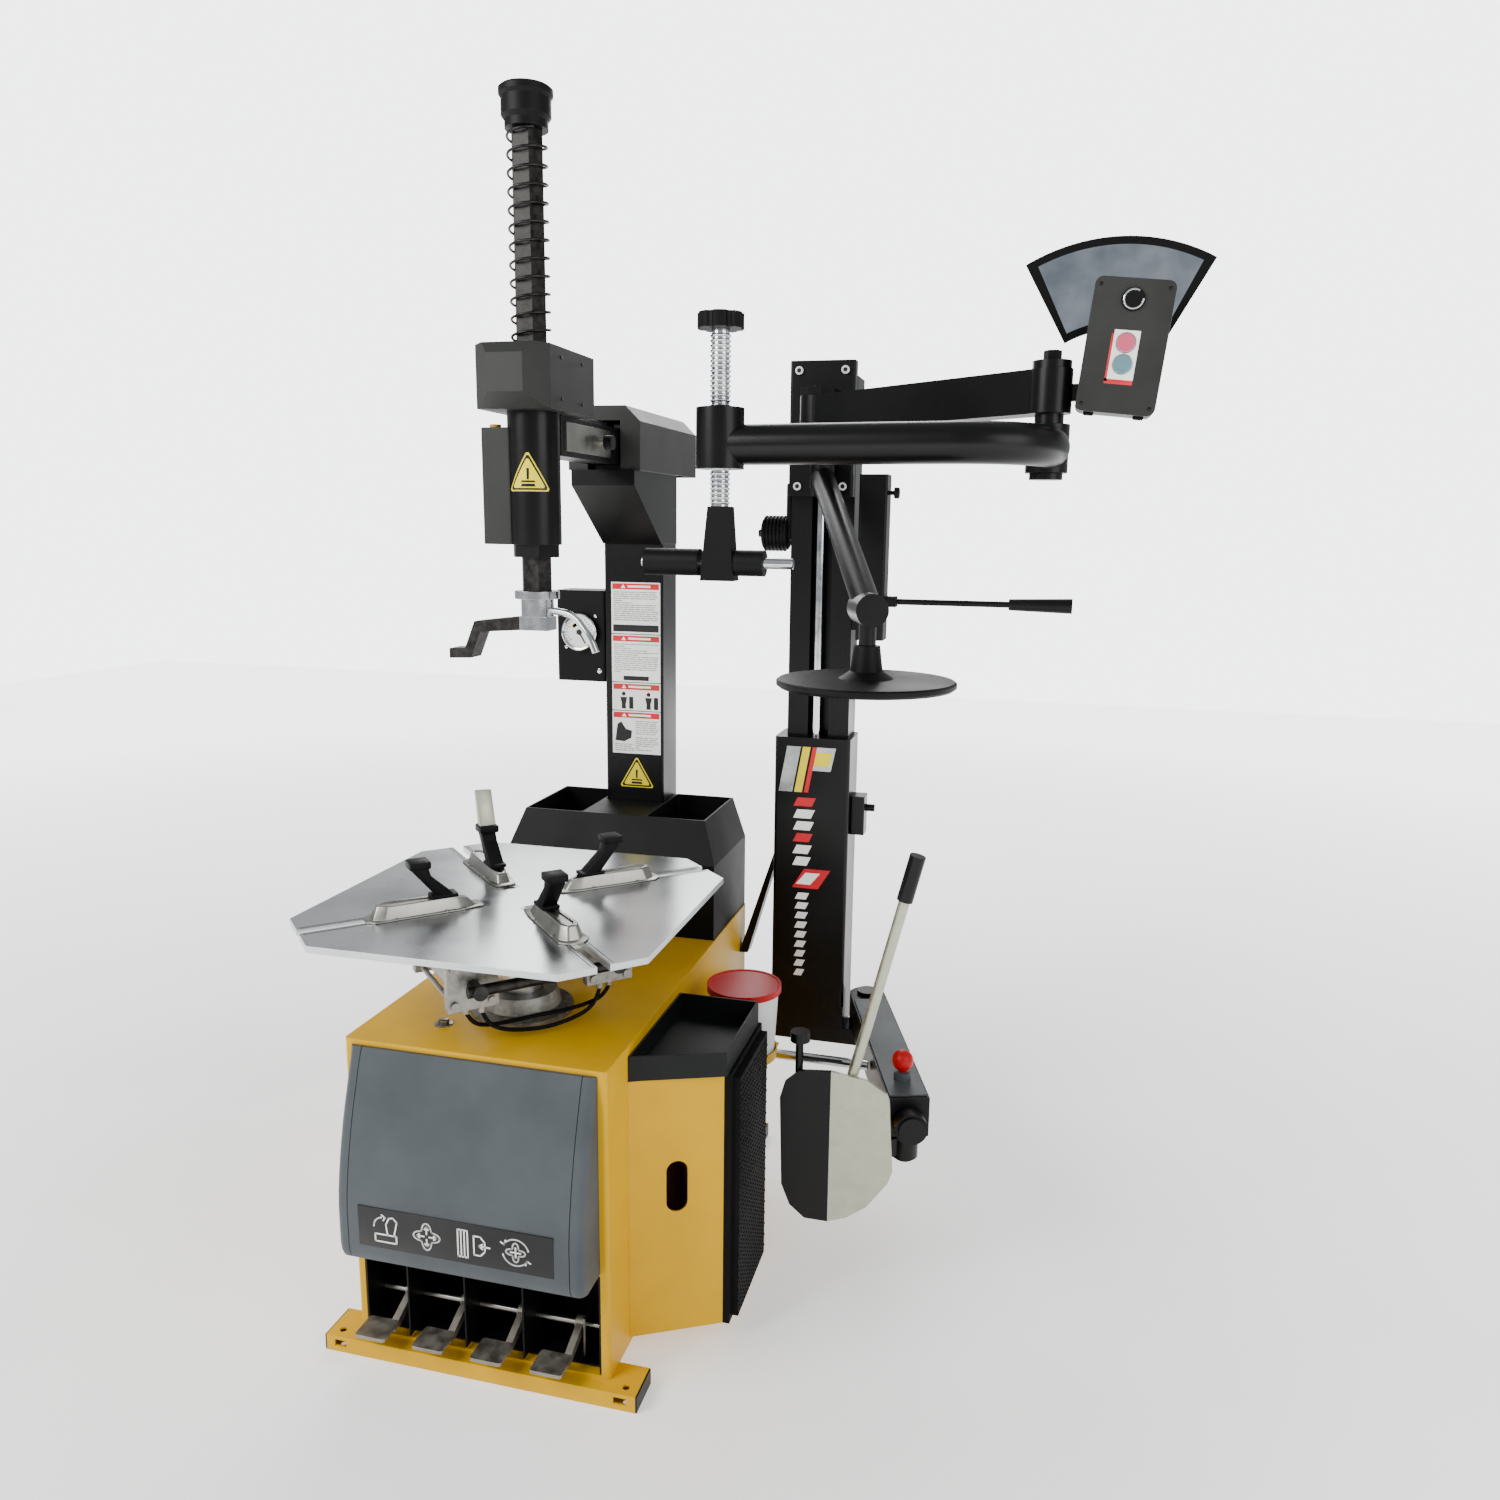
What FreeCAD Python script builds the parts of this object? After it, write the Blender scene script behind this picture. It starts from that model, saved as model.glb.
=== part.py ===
import FreeCAD, Part
import Sketcher
import math
import os
import re

# A floor-standing tyre changer with a tilting post and a bead-assist column.
# The origin is the middle of the four floor anchor holes, on the floor.
# +X points to the bead breaker, +Y to the tilting post, +Z up.

V = FreeCAD.Vector

SIZES = {
    # Cabinet, foot bars and floor anchors
    "cab_wide": 530, "cab_deep": 985, "cab_top": 660, "sheet": 3,
    "bar_high": 34, "bar_deep": 80, "bar_long": 650, "bar_out": 28, "bar_wall": 4,
    "cap_thick": 3, "anchor_x": 300, "anchor_y": 500, "anchor_radius": 7,
    "slot_wide": 26, "slot_high": 14, "slot_in": 31,
    # Front panel, icon strip and pedal bay
    "panel_wide": 496, "panel_low": 255, "panel_high": 650, "panel_bulge": 82, "panel_wall": 4,
    "panel_lip": 8, "strip_low": 290, "strip_high": 372,
    "bay_wide": 496, "bay_low": 40, "bay_high": 250, "bay_deep": 150,
    "bay_wall": 3,
    # Pedals
    "pedal_pitch": 122, "pedal_first": -205, "pad_wide": 64, "pad_deep": 58, "pad_thick": 7,
    "pad_top": 78, "pad_middle": -527, "pivot_back": -430, "pivot_high": 96,
    "shaft_radius": 6, "boss_radius": 13, "boss_long": 20, "lever_wide": 14, "lever_thick": 12,
    "lever_aside": 22, "bracket_gap": 2, "bracket_thick": 4, "bracket_high": 78,
    # Side box, tray, wheel rest and paste bucket
    "box_out": 165, "box_front": -387.5, "box_nose": -298, "box_back": -55, "box_low": 48,
    "box_top": 590, "box_slot_radius": 21, "box_slot_long": 65, "box_slot_high": 362,
    "tray_high": 50, "tray_wall": 4, "tray_lip": 9, "rest_frame": 14, "rest_rubber": 15,
    "rest_top": 588, "rest_border": 12,
    "bucket_out": 118, "bucket_y": 28, "bucket_radius": 76, "bucket_foot": 67, "bucket_low": 470,
    "bucket_high": 162, "bucket_wall": 2, "lid_radius": 81.5, "lid_high": 15,
    "holder_wide": 180, "holder_deep": 160, "holder_thick": 5, "holder_rim": 22,
    # Turntable, clamp cylinders and jaws
    "table_y": -275, "table_side": 705, "table_cut": 117, "table_top": 894, "table_thick": 12,
    "groove_wide": 24, "groove_start": 58, "spindle_radius": 42, "hub_radius": 78,
    "hub_high": 46, "hub_gap": 0.5, "spindle_gap": 0.5, "flange_radius": 66, "flange_thick": 14,
    "cylinder_apart": 137, "cylinder_high": 782, "cylinder_radius": 38, "cylinder_long": 250,
    "cylinder_head": 96, "head_thick": 22, "tie_radius": 5, "tie_in": 13,
    "hanger_in": 32, "rod_radius": 11, "rod_out": 32, "barrel_wall": 4, "piston_thick": 14,
    "crossbar_radius": 11,
    "jaw_start": 76, "jaw_long": 224, "jaw_wide": 58, "jaw_high": 30, "jaw_gap": 0.4,
    "stem_wide": 22, "keeper_wide": 46, "keeper_thick": 8,
    "hook_wide": 30, "hook_foot": 132, "hook_deep": 34, "hook_lean": 44, "hook_high": 74,
    "hook_nose": 20, "hook_extra": 70,
    # Drive inside the cabinet
    "gear_wide": 190, "gear_deep": 210, "gear_high": 110, "motor_radius": 48, "motor_long": 180,
    # Post hood
    "hood_wide": 524, "hood_front": 202, "hood_brow": 240, "hood_back": 490, "hood_top": 939,
    "hood_shoulder": 841, "hood_wall": 4, "hood_inset": 34, "pocket_deep": 95,
    "post_clear": 3,
    # Tilting post
    "post_wide": 150, "post_deep": 110, "post_front": 387.5, "post_foot": 722,
    "post_top": 1575, "post_wall": 6, "tilt_y": 480, "tilt_high": 690, "pin_radius": 12,
    "lug_thick": 16, "lug_radius": 18, "crank_wide": 36, "crank_deep": 20, "crank_back": 2,
    "crank_drop": 132, "crank_boss": 20,
    "tilt_rod_high": 562, "tilt_rod_gap": 2, "tilt_rod_radius": 9, "tilt_cylinder_radius": 38,
    "tilt_cylinder_long": 190, "tilt_cylinder_front": 135,
    "cheek_thick": 6, "cheek_top": 1740, "cheek_reach": 200, "cover_wide": 170,
    "cover_back": 625, "cover_front": 205, "cover_high": 139, "cover_wall": 4, "cover_bevel": 34,
    "gauge_wide": 132, "gauge_high": 225, "gauge_deep": 95, "gauge_low": 1235,
    "dial_x": -141, "dial_high": 1358, "dial_radius": 46, "dial_thick": 12,
    # Horizontal arm, mount head and hexagonal shaft
    "arm_wide": 66, "arm_low": 1752, "arm_high": 78, "arm_front": -105, "arm_back": 490,
    "arm_wall": 6, "guide_front": 230, "guide_wide": 162, "guide_high": 100,
    "rack_wide": 26, "rack_high": 10, "rack_from": 43, "rack_to": 190, "slide_gap": 0.5,
    "plate_from": -85, "plate_to": 150, "arm_plate_thick": 4,
    "shaft_y": -160, "hexagon": 54, "shaft_low": 1490, "shaft_top": 2330, "shaft_gap": 0.5,
    "housing_radius": 50, "housing_low": 1580, "housing_top": 1830, "head_top": 1945,
    "head_right": 70, "head_left": 80, "head_front": -280, "head_back": -22,
    "head_nose": 36, "head_cheek": -234,
    "grip_low": 1580, "grip_top": 1800, "grip_out": 95, "grip_deep": 74,
    "button_radius": 11, "button_high": 14, "button_x": -80, "button_seat": 12, "button_travel": 6,
    "collar_low": 1556, "collar_across": 84,
    "knob_low": 2330, "knob_radius": 50, "knob_high": 72, "knob_neck": 40,
    "coil_radius": 36, "coil_wire": 2.5, "coil_pitch": 32,
    "socket_radius": 32, "socket_low": 1440, "ring_radius": 44, "ring_thick": 15,
    "foot_wide": 44, "foot_thick": 27, "foot_reach": 118, "foot_step": 150, "foot_toe": 185,
    "foot_low": 1352, "hook_rod": 7,
    # Assist column
    "column_left": 355, "column_right": 540, "column_front": 407.5, "column_back": 530,
    "column_low": 440, "column_top": 1120, "column_wall": 6,
    "mast_left": 380, "mast_right": 530, "mast_front": 434, "mast_top": 1960,
    "mast_web": 50, "mast_wall": 6, "groove_deep": 40, "lift_x": 449, "lift_y": 448, "lift_radius": 12,
    "lift_low": 760, "lift_gap": 0.6,
    "carriage_low": 1690, "carriage_top": 1990, "carriage_front": 395, "carriage_gap": 0.5,
    "bolt_radius": 9, "bolt_high": 6, "bolt_in": 22,
    # Assist arms
    "root_x": 455, "root_y": 340, "lug_high": 18,
    "elbow_x": 961, "elbow_y": -35, "beam_low": 1827, "beam_high": 78, "beam_wide": 58, "beam_wall": 5,
    "joint_radius": 38, "joint_pin": 15, "running_gap": 0.4,
    "tube_radius": 36, "tube_wall": 5, "tube_axis": 1765, "tube_bow_x": 1012,
    "tube_bow_y": -232, "tube_bend": 150, "collar_radius": 30,
    "press_x": 383, "press_y": -192.5, "press_collar": 44, "press_low": 1722,
    "press_high": 108, "elbow_high": 86, "screw_radius": 19, "screw_low": 1655, "screw_top": 1966,
    "star_radius": 42, "star_high": 27,
    "yoke_top": 1655, "yoke_low": 1520, "yoke_wide": 64, "yoke_deep": 40,
    "roller_radius": 25, "roller_axis": 1553, "roller_left": 240, "roller_right": 346,
    "grip_radius": 24, "grip_right": 470, "axle_thin": 10, "axle_right": 524,
    # Disc arm
    "disc_root_x": 468, "disc_root_y": 350, "disc_root_low": 1690, "disc_root_high": 52,
    "disc_tube": 29, "disc_elbow_high": 1475, "disc_elbow_radius": 30,
    "disc_x": 664, "disc_y": -192, "disc_low": 1332, "disc_thick": 15, "disc_radius": 165,
    "cone_high": 62, "cone_radius": 24, "disc_pin": 16,
    # Lever box and control lever
    "lever_box_left": 545, "lever_box_wide": 65, "lever_box_front": 400, "lever_box_deep": 70,
    "lever_box_low": 1361, "lever_box_high": 379, "lever_high": 1451, "lever_y": 432,
    "lever_long": 268, "lever_hub_radius": 12, "lever_hub_half": 10, "lever_pin_radius": 4,
    "ear_thick": 6, "ear_gap": 0.4, "lever_radius": 7, "lever_grip": 140, "lever_grip_radius": 17,
    # Hand control box and mirror
    "panel_box_x": 1083, "panel_box_y": -50, "panel_box_high": 1935, "panel_box_wide": 136,
    "panel_box_tall": 226, "panel_box_deep": 60, "panel_box_lean": 6, "panel_box_round": 14,
    "ring_button_radius": 19, "ring_button_up": 78, "push_radius": 15, "push_apart": 36,
    "push_up": -12, "push_high": 5, "panel_arm_deep": 16, "inlet_radius": 6, "inlet_in": 130,
    "hose_radius": 4,
    "mirror_radius": 330, "mirror_inner": 190, "mirror_angle": 27, "mirror_x": 1068,
    "mirror_y": 20, "mirror_base": 1800, "mirror_thick": 10, "mirror_rim": 9,
    # Bead breaker
    "breaker_out": 327, "breaker_y": 470, "breaker_high": 86, "base_half": 36,
    "breaker_wide": 88, "breaker_long": 549, "breaker_angle": 17.8, "breaker_wall": 6,
    "plate_thick": 4, "breaker_pin": 18, "base_low": 330, "base_top": 372,
    "piston_y": 150, "piston_high": 420, "piston_radius": 11, "piston_gap": 5,
    "bore_radius": 88, "bore_long": 300, "bore_wall": 5, "bore_cap": 14,
    "ball_radius": 23, "ball_along": 470, "ball_stem": 22, "ball_neck_radius": 8, "ball_sunk": 10,
    "ball_gap": 1.6,
    "blade_y": -142, "blade_out": 240, "fold_out": 339, "tip_out": 465,
    "blade_low": 206, "blade_top": 540, "blade_thick": 8,
    "handle_radius": 11, "handle_long": 420, "handle_lean": 13.6, "handle_grip": 95,
    "handle_grip_radius": 16, "tie_long": 88,
}

# Places on the cabinet's right side, which move out with it
PLACES = {
    "bucket_x": "(cab_wide / 2 + bucket_out)",
    "breaker_x": "(cab_wide / 2 + breaker_out)",
    "blade_left": "(cab_wide / 2 + blade_out)",
    "blade_fold": "(cab_wide / 2 + fold_out)",
    "blade_right": "(cab_wide / 2 + tip_out)",
}

doc = FreeCAD.newDocument("TyreChanger")
sheet = doc.addObject("Spreadsheet::Sheet", "Sizes")
for line, (alias, number) in enumerate(SIZES.items(), start=1):
    sheet.set(f"A{line}", alias)
    sheet.set(f"B{line}", str(number))
    sheet.setAlias(f"B{line}", alias)
doc.recompute()

PARTS = {}


def size(name):
    """The number that the sheet holds for a size."""
    return float(sheet.get(name))


def formula(text):
    """A formula in size names, with each place spelt out and each name pointed at its cell."""
    def cell(word):
        if word[0] in PLACES:
            return formula(PLACES[word[0]])
        return "Sizes." + word[0] if word[0] in SIZES else word[0]
    return re.sub(r"[a-z][a-z_]*", cell, str(text))


def lay(piece, at, turn=None):
    """Place a piece; turn is an axis and an angle in degrees."""
    if turn:
        piece.Placement = FreeCAD.Placement(V(), FreeCAD.Rotation(V(*turn[0]), 10))
        piece.setExpression("Placement.Rotation.Angle", formula(turn[1]))
    for letter, text in zip("xyz", at):
        piece.setExpression("Placement.Base." + letter, formula(text))
    return piece


TURNS = {"z": None, "x": ((0, 1, 0), 90), "y": ((-1, 0, 0), 90)}


def rod(name, radius, length, at, along="z"):
    """A round bar that starts at a point and runs along an axis."""
    piece = doc.addObject("Part::Cylinder", name)
    piece.setExpression("Radius", formula(radius))
    piece.setExpression("Height", formula(length))
    turn = TURNS[along] if along in TURNS else along
    return lay(piece, at, turn)


def taper(name, radius, end_radius, length, at, along="z"):
    """A cone frustum that starts at a point and runs along an axis."""
    piece = doc.addObject("Part::Cone", name)
    piece.setExpression("Radius1", formula(radius))
    piece.setExpression("Radius2", formula(end_radius))
    piece.setExpression("Height", formula(length))
    return lay(piece, at, TURNS[along])


def block(name, sizes, at, turn=None):
    """A plain block from its lowest corner."""
    piece = doc.addObject("Part::Box", name)
    for side, text in zip(("Length", "Width", "Height"), sizes):
        piece.setExpression(side, formula(text))
    return lay(piece, at, turn)


def hexagon(name, across, length, at):
    """A hexagonal bar with two flats square to Y."""
    piece = doc.addObject("Part::Prism", name)
    piece.Polygon = 6
    piece.setExpression("Circumradius", formula(f"({across}) / sqrt(3)"))
    piece.setExpression("Height", formula(length))
    return lay(piece, at)


def cut(name, base, *tools):
    """One piece less some others."""
    piece = doc.addObject("Part::Cut", name)
    piece.Base = base
    piece.Tool = tools[0] if len(tools) == 1 else join(name + "_tools", *tools)
    return piece


def common(name, first, second):
    """What two pieces have in common."""
    piece = doc.addObject("Part::Common", name)
    piece.Base = first
    piece.Tool = second
    return piece


def join(name, *parts):
    """Several pieces as one."""
    piece = doc.addObject("Part::MultiFuse", name)
    piece.Shapes = list(parts)
    return piece


def outline(body, plane, points):
    """A closed sketch whose corners are all bound to the sheet."""
    sketch = body.newObject("Sketcher::SketchObject", body.Name + "_outline")
    role = plane.upper() + "_Plane"
    origin = [item for item in body.Origin.OriginFeatures if item.Role == role][0]
    sketch.AttachmentSupport = (origin, [""])
    sketch.MapMode = "FlatFace"
    count = len(points)
    start = [V(100 * math.cos(math.tau * i / count), 100 * math.sin(math.tau * i / count), 0)
             for i in range(count)]
    for i in range(count):
        sketch.addGeometry(Part.LineSegment(start[i], start[(i + 1) % count]), False)
    for i in range(count):
        sketch.addConstraint(Sketcher.Constraint("Coincident", i, 2, (i + 1) % count, 1))
    for i, corner in enumerate(points):
        for way, here, text in zip(("DistanceX", "DistanceY"), start[i], corner):
            row = sketch.addConstraint(Sketcher.Constraint(way, -1, 1, i, 1, here))
            sketch.setExpression(f"Constraints[{row}]", formula(text))
    return sketch


NORMALS = {"xy": V(0, 0, 1), "xz": V(0, -1, 0), "yz": V(1, 0, 0)}


def pad(name, plane, points, thick, at, turn=None, rounding=None, pick=None):
    """A padded outline; rounding softens the edges that run along the pad."""
    body = doc.addObject("PartDesign::Body", name)
    sketch = outline(body, plane, points)
    solid = body.newObject("PartDesign::Pad", name + "_pad")
    solid.Profile = sketch
    solid.setExpression("Length", formula(thick))
    if rounding:
        doc.recompute()
        names = []
        for i, edge in enumerate(solid.Shape.Edges, start=1):
            if len(edge.Vertexes) < 2:
                continue
            way = edge.Vertexes[1].Point.sub(edge.Vertexes[0].Point).normalize()
            if abs(way.dot(NORMALS[plane])) > 0.99 and (pick is None or pick(edge.CenterOfMass)):
                names.append(f"Edge{i}")
        soft = body.newObject("PartDesign::Fillet", name + "_round")
        soft.Base = (solid, names)
        soft.setExpression("Radius", formula(rounding))
        body.Tip = soft
    return lay(body, at, turn)


def turned(name, points, at, turn=None):
    """An outline of (radius, height) corners turned about Z."""
    body = doc.addObject("PartDesign::Body", name)
    sketch = outline(body, "xz", points)
    solid = body.newObject("PartDesign::Revolution", name + "_turn")
    solid.Profile = sketch
    solid.ReferenceAxis = (sketch, ["V_Axis"])
    solid.Angle = 360
    return lay(body, at, turn)


def slab(name, wide, deep, high, at, rounding=None, turn=None):
    """A block with its four upright edges rounded, from its lowest corner."""
    corners = [("0", "0"), (wide, "0"), (wide, deep), ("0", deep)]
    return pad(name, "xy", corners, high, at, turn, rounding)


def shaped(name, shape, at=(0, 0, 0)):
    """A piece that neither sketches nor primitives fit."""
    piece = doc.addObject("Part::Feature", name)
    piece.Shape = shape
    piece.Placement = FreeCAD.Placement(V(*at), FreeCAD.Rotation())
    return piece


def keep(piece, label):
    """Put a finished part on the list under its name."""
    PARTS[label] = piece
    return piece


def route(points, bends):
    """A wire of straight runs joined by tangent arcs, one radius for each inner point."""
    edges = []
    here = points[0]
    for before, corner, after, radius in zip(points, points[1:], points[2:], bends):
        back = before.sub(corner).normalize()
        ahead = after.sub(corner).normalize()
        half = back.getAngle(ahead) / 2
        reach = radius / math.tan(half)
        middle = corner.add(back.add(ahead).normalize().multiply(radius / math.sin(half)))
        enter = corner.add(V(back).multiply(reach))
        leave = corner.add(V(ahead).multiply(reach))
        crown = middle.add(corner.sub(middle).normalize().multiply(radius))
        edges.append(Part.LineSegment(here, enter).toShape())
        edges.append(Part.Arc(enter, crown, leave).toShape())
        here = leave
    edges.append(Part.LineSegment(here, points[-1]).toShape())
    return Part.Wire(edges)


def pipe(wire, radius):
    """A round bar swept along a wire."""
    first = wire.Edges[0]
    circle = Part.Circle(first.valueAt(first.FirstParameter),
                         first.tangentAt(first.FirstParameter), radius)
    return wire.makePipeShell([Part.Wire(circle.toShape())], True, True)


def easy_bends(points):
    """Arc radii as large as the runs beside each corner allow."""
    radii = []
    for before, corner, after in zip(points, points[1:], points[2:]):
        shorter = min(before.distanceToPoint(corner), corner.distanceToPoint(after))
        turn = math.pi - before.sub(corner).getAngle(after.sub(corner))
        radii.append(0.45 * shorter / math.tan(turn / 2))
    return radii



# ---- Cabinet -----------------------------------------------------------------

def foot_bar(name, front):
    """A square tube under the cabinet, bolted to the floor through both walls."""
    tube = block(name + "_tube", ("bar_long", "bar_deep", "bar_high"), ("-bar_long / 2", front, "0"))
    hollow = block(name + "_hollow", ("bar_long + 2", "bar_deep - 2 * bar_wall",
                                      "bar_high - 2 * bar_wall"),
                   ("-bar_long / 2 - 1", f"{front} + bar_wall", "bar_wall"))
    tools = [hollow]
    for side in (-1, 1):
        hole_y = "-anchor_y" if name == "foot_bar_front" else "anchor_y"
        tools.append(rod(f"{name}_hole_{side + 1}", "anchor_radius", "bar_high + 2",
                         (f"{side} * anchor_x", hole_y, "-1")))
        tools.append(block(f"{name}_slot_{side + 1}", ("slot_wide", "bar_deep + 2", "slot_high"),
                           (f"{side} * (bar_long / 2 - slot_in) - slot_wide / 2", f"{front} - 1",
                            "bar_high / 2 - slot_high / 2 + 2")))
    return keep(cut(name, tube, *tools), name)


foot_bar("foot_bar_front", "-cab_deep / 2 - bar_out")
foot_bar("foot_bar_rear", "cab_deep / 2 + bar_out - bar_deep")

caps = []
for side in (-1, 1):
    for end, front in (("front", "-cab_deep / 2 - bar_out"),
                       ("rear", "cab_deep / 2 + bar_out - bar_deep")):
        left = "bar_long / 2" if side > 0 else "-bar_long / 2 - cap_thick"
        caps.append(block(f"cap_{end}_{side + 1}", ("cap_thick", "bar_deep", "bar_high - 2"),
                          (left, front, "1")))
keep(join("foot_bar_caps", *caps), "foot_bar_caps")

cab_high = "cab_top - bar_high"
shell = slab("shell_outside", "cab_wide", "cab_deep", cab_high,
             ("-cab_wide / 2", "-cab_deep / 2", "bar_high"), rounding="sheet + 5")
room = block("shell_inside", ("cab_wide - 2 * sheet", "cab_deep - 2 * sheet",
                              f"{cab_high} - 2 * sheet"),
             ("-cab_wide / 2 + sheet", "-cab_deep / 2 + sheet", "bar_high + sheet"))
door = block("shell_door", ("bay_wide", "sheet + 2", "bay_high - bay_low"),
             ("-bay_wide / 2", "-cab_deep / 2 - 1", "bay_low"))
hub_hole = rod("shell_hub_hole", "spindle_radius + 6", "sheet + 2", ("0", "table_y", "cab_top - sheet - 1"))
crank_hole = block("shell_crank_hole", ("crank_wide + 24", "110", "sheet + 2"),
                   ("-crank_wide / 2 - 12", "cab_deep / 2 - sheet - 112", "cab_top - sheet - 1"))
piston_hole = rod("shell_piston_hole", "piston_radius + 6", "sheet + 10",
                  ("cab_wide / 2 - sheet - 5", "piston_y", "piston_high"), "x")
shell_sheet = cut("cabinet_shell", shell, room, door, hub_hole, crank_hole, piston_hole)

# The shell is six welded sheets. The front one is four strips round the pedals' opening.
left_out, right_in = "-cab_wide / 2", "cab_wide / 2 - sheet"
front_out, back_in = "-cab_deep / 2", "cab_deep / 2 - sheet"
low_out, low_in, high_in = "bar_high", "bar_high + sheet", "cab_top - sheet"
stile = "(cab_wide - bay_wide) / 2"
side_sizes = ("sheet", "cab_deep - 2 * sheet", "cab_top - bar_high - 2 * sheet")
SHEETS = {
    "bottom": (("cab_wide", "cab_deep", "sheet"), (left_out, front_out, low_out)),
    "top": (("cab_wide", "cab_deep", "sheet"), (left_out, front_out, high_in)),
    "left": (side_sizes, (left_out, f"{front_out} + sheet", low_in)),
    "right": (side_sizes, (right_in, f"{front_out} + sheet", low_in)),
    "back": (("cab_wide", "sheet", "cab_top - bar_high - 2 * sheet"), (left_out, back_in, low_in)),
    "stile_left": ((stile, "sheet", "cab_top - bar_high - 2 * sheet"), (left_out, front_out, low_in)),
    "stile_right": ((stile, "sheet", "cab_top - bar_high - 2 * sheet"),
                    ("bay_wide / 2", front_out, low_in)),
    "head": (("bay_wide", "sheet", f"{high_in} - bay_high"), ("-bay_wide / 2", front_out, "bay_high")),
    "sill": (("bay_wide", "sheet", f"bay_low - ({low_in})"), ("-bay_wide / 2", front_out, low_in)),
}
for name, (sizes, at) in SHEETS.items():
    keep(common(f"sheet_{name}", shell_sheet, block(f"zone_{name}", sizes, at)), f"cabinet_{name}")


def panel_solid(name, wide, inset):
    """The bulging cover's section, drawn in YZ and padded across the cabinet."""
    face = "-cab_deep / 2"
    corners = [(face, f"panel_low + 1.5 * ({inset})"), (face, f"panel_high - {inset}"),
               (f"{face} - panel_lip + 0.3 * ({inset})", f"panel_high - {inset}"),
               (f"{face} - 0.42 * panel_bulge + {inset}", "panel_high - 75"),
               (f"{face} - 0.78 * panel_bulge + {inset}", "panel_high - 160"),
               (f"{face} - panel_bulge + {inset}", "strip_high + 8"),
               (f"{face} - panel_bulge + {inset}", "strip_low - 10"),
               (f"{face} - 0.86 * panel_bulge + 0.7 * ({inset})", f"panel_low + 1.5 * ({inset})")]
    return pad(name, "yz", corners, wide, (f"-({wide}) / 2", "0", "0"))


cover = panel_solid("panel_outside", "panel_wide", "0")
void = panel_solid("panel_inside", "panel_wide - 2 * panel_wall", "panel_wall")
keep(cut("front_panel", cover, void), "front_panel")

# The pedal bay is a black liner, open to the front, with a wall beside each pedal.
bay_front = "-cab_deep / 2 + 1"
keep(block("bay_back_plate", ("bay_wide - 2", "bay_wall", "bay_high - bay_low - 3"),
           ("-bay_wide / 2 + 1", "-cab_deep / 2 + bay_deep", "bay_low")), "bay_back")
keep(block("bay_roof_plate", ("bay_wide - 2", "bay_deep - 1", "bay_wall"),
           ("-bay_wide / 2 + 1", bay_front, "bay_high - 3 - bay_wall")), "bay_roof")
keep(block("bay_floor_plate", ("bay_wide - 2", "bay_deep - 22", "bay_wall"),
           ("-bay_wide / 2 + 1", "-cab_deep / 2 + 22", "bay_low")), "bay_floor")
wall_spots = ["-bay_wide / 2 + 1", "bay_wide / 2 - 1 - bay_wall"]
wall_spots += [f"pedal_first + {i} * pedal_pitch + pad_wide / 2 + 16" for i in range(3)]
for i, left in enumerate(wall_spots):
    wall = block(f"bay_wall_plate_{i}", ("bay_wall", "bay_deep - 1",
                                         "bay_high - bay_low - 3 - 2 * bay_wall"),
                 (left, bay_front, "bay_low + bay_wall"))
    shaft_hole = rod(f"bay_shaft_hole_{i}", "shaft_radius", "bay_wall + 2",
                     (f"{left} - 1", "pivot_back", "pivot_high"), "x")
    keep(cut(f"bay_wall_solid_{i}", wall, shaft_hole), f"bay_wall_{i}")
keep(rod("pedal_shaft", "shaft_radius", "bay_wide - 2", ("-bay_wide / 2 + 1", "pivot_back", "pivot_high"),
         "x"), "pedal_shaft")

# ---- Pedals ------------------------------------------------------------------

bracket_parts = []
for i in range(4):
    middle = f"pedal_first + {i} * pedal_pitch"
    arm = f"{middle} + lever_aside"
    tread = slab(f"pedal_tread_{i}", "pad_wide", "pad_deep", "pad_thick",
                 (f"{middle} - pad_wide / 2", "pad_middle - pad_deep / 2", "pad_top - pad_thick"),
                 rounding="6")
    lever = pad(f"pedal_lever_{i}", "yz",
                [("pad_middle + pad_deep / 2 - 14", "pad_top - pad_thick - lever_thick + 4"),
                 ("pad_middle + pad_deep / 2 + 4", "pad_top - pad_thick - lever_thick + 4"),
                 ("pivot_back", "pivot_high - boss_radius + 2"),
                 ("pivot_back", "pivot_high + boss_radius - 2"),
                 ("pad_middle + pad_deep / 2", "pad_top"),
                 ("pad_middle + pad_deep / 2 - 14", "pad_top - 2")],
                "lever_wide", (f"{arm} - lever_wide / 2", "0", "0"))
    boss = rod(f"pedal_boss_{i}", "boss_radius", "boss_long",
               (f"{arm} - boss_long / 2", "pivot_back", "pivot_high"), "x")
    bore = rod(f"pedal_bore_{i}", "shaft_radius + 0.06", "boss_long + 4",
               (f"{arm} - boss_long / 2 - 2", "pivot_back", "pivot_high"), "x")
    keep(cut(f"pedal_{i + 1}", join(f"pedal_solid_{i}", tread, lever, boss), bore), f"pedal_{i + 1}")
    left = f"{arm} + boss_long / 2 + bracket_gap"
    plate = slab(f"bracket_plate_{i}", "bracket_thick", "44", "bracket_high",
                 (left, "pivot_back - 22", "bay_low + bay_wall"))
    hole = rod(f"bracket_hole_{i}", "shaft_radius", "bracket_thick + 2",
               (f"{left} - 1", "pivot_back", "pivot_high"), "x")
    bracket_parts.append(cut(f"bracket_{i}", plate, hole))
keep(join("pedal_brackets", *bracket_parts), "pedal_brackets")

# ---- Side box, tray, wheel rest and bucket -----------------------------------

side = "cab_wide / 2"
box_face = f"{side} + box_out"


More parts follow.
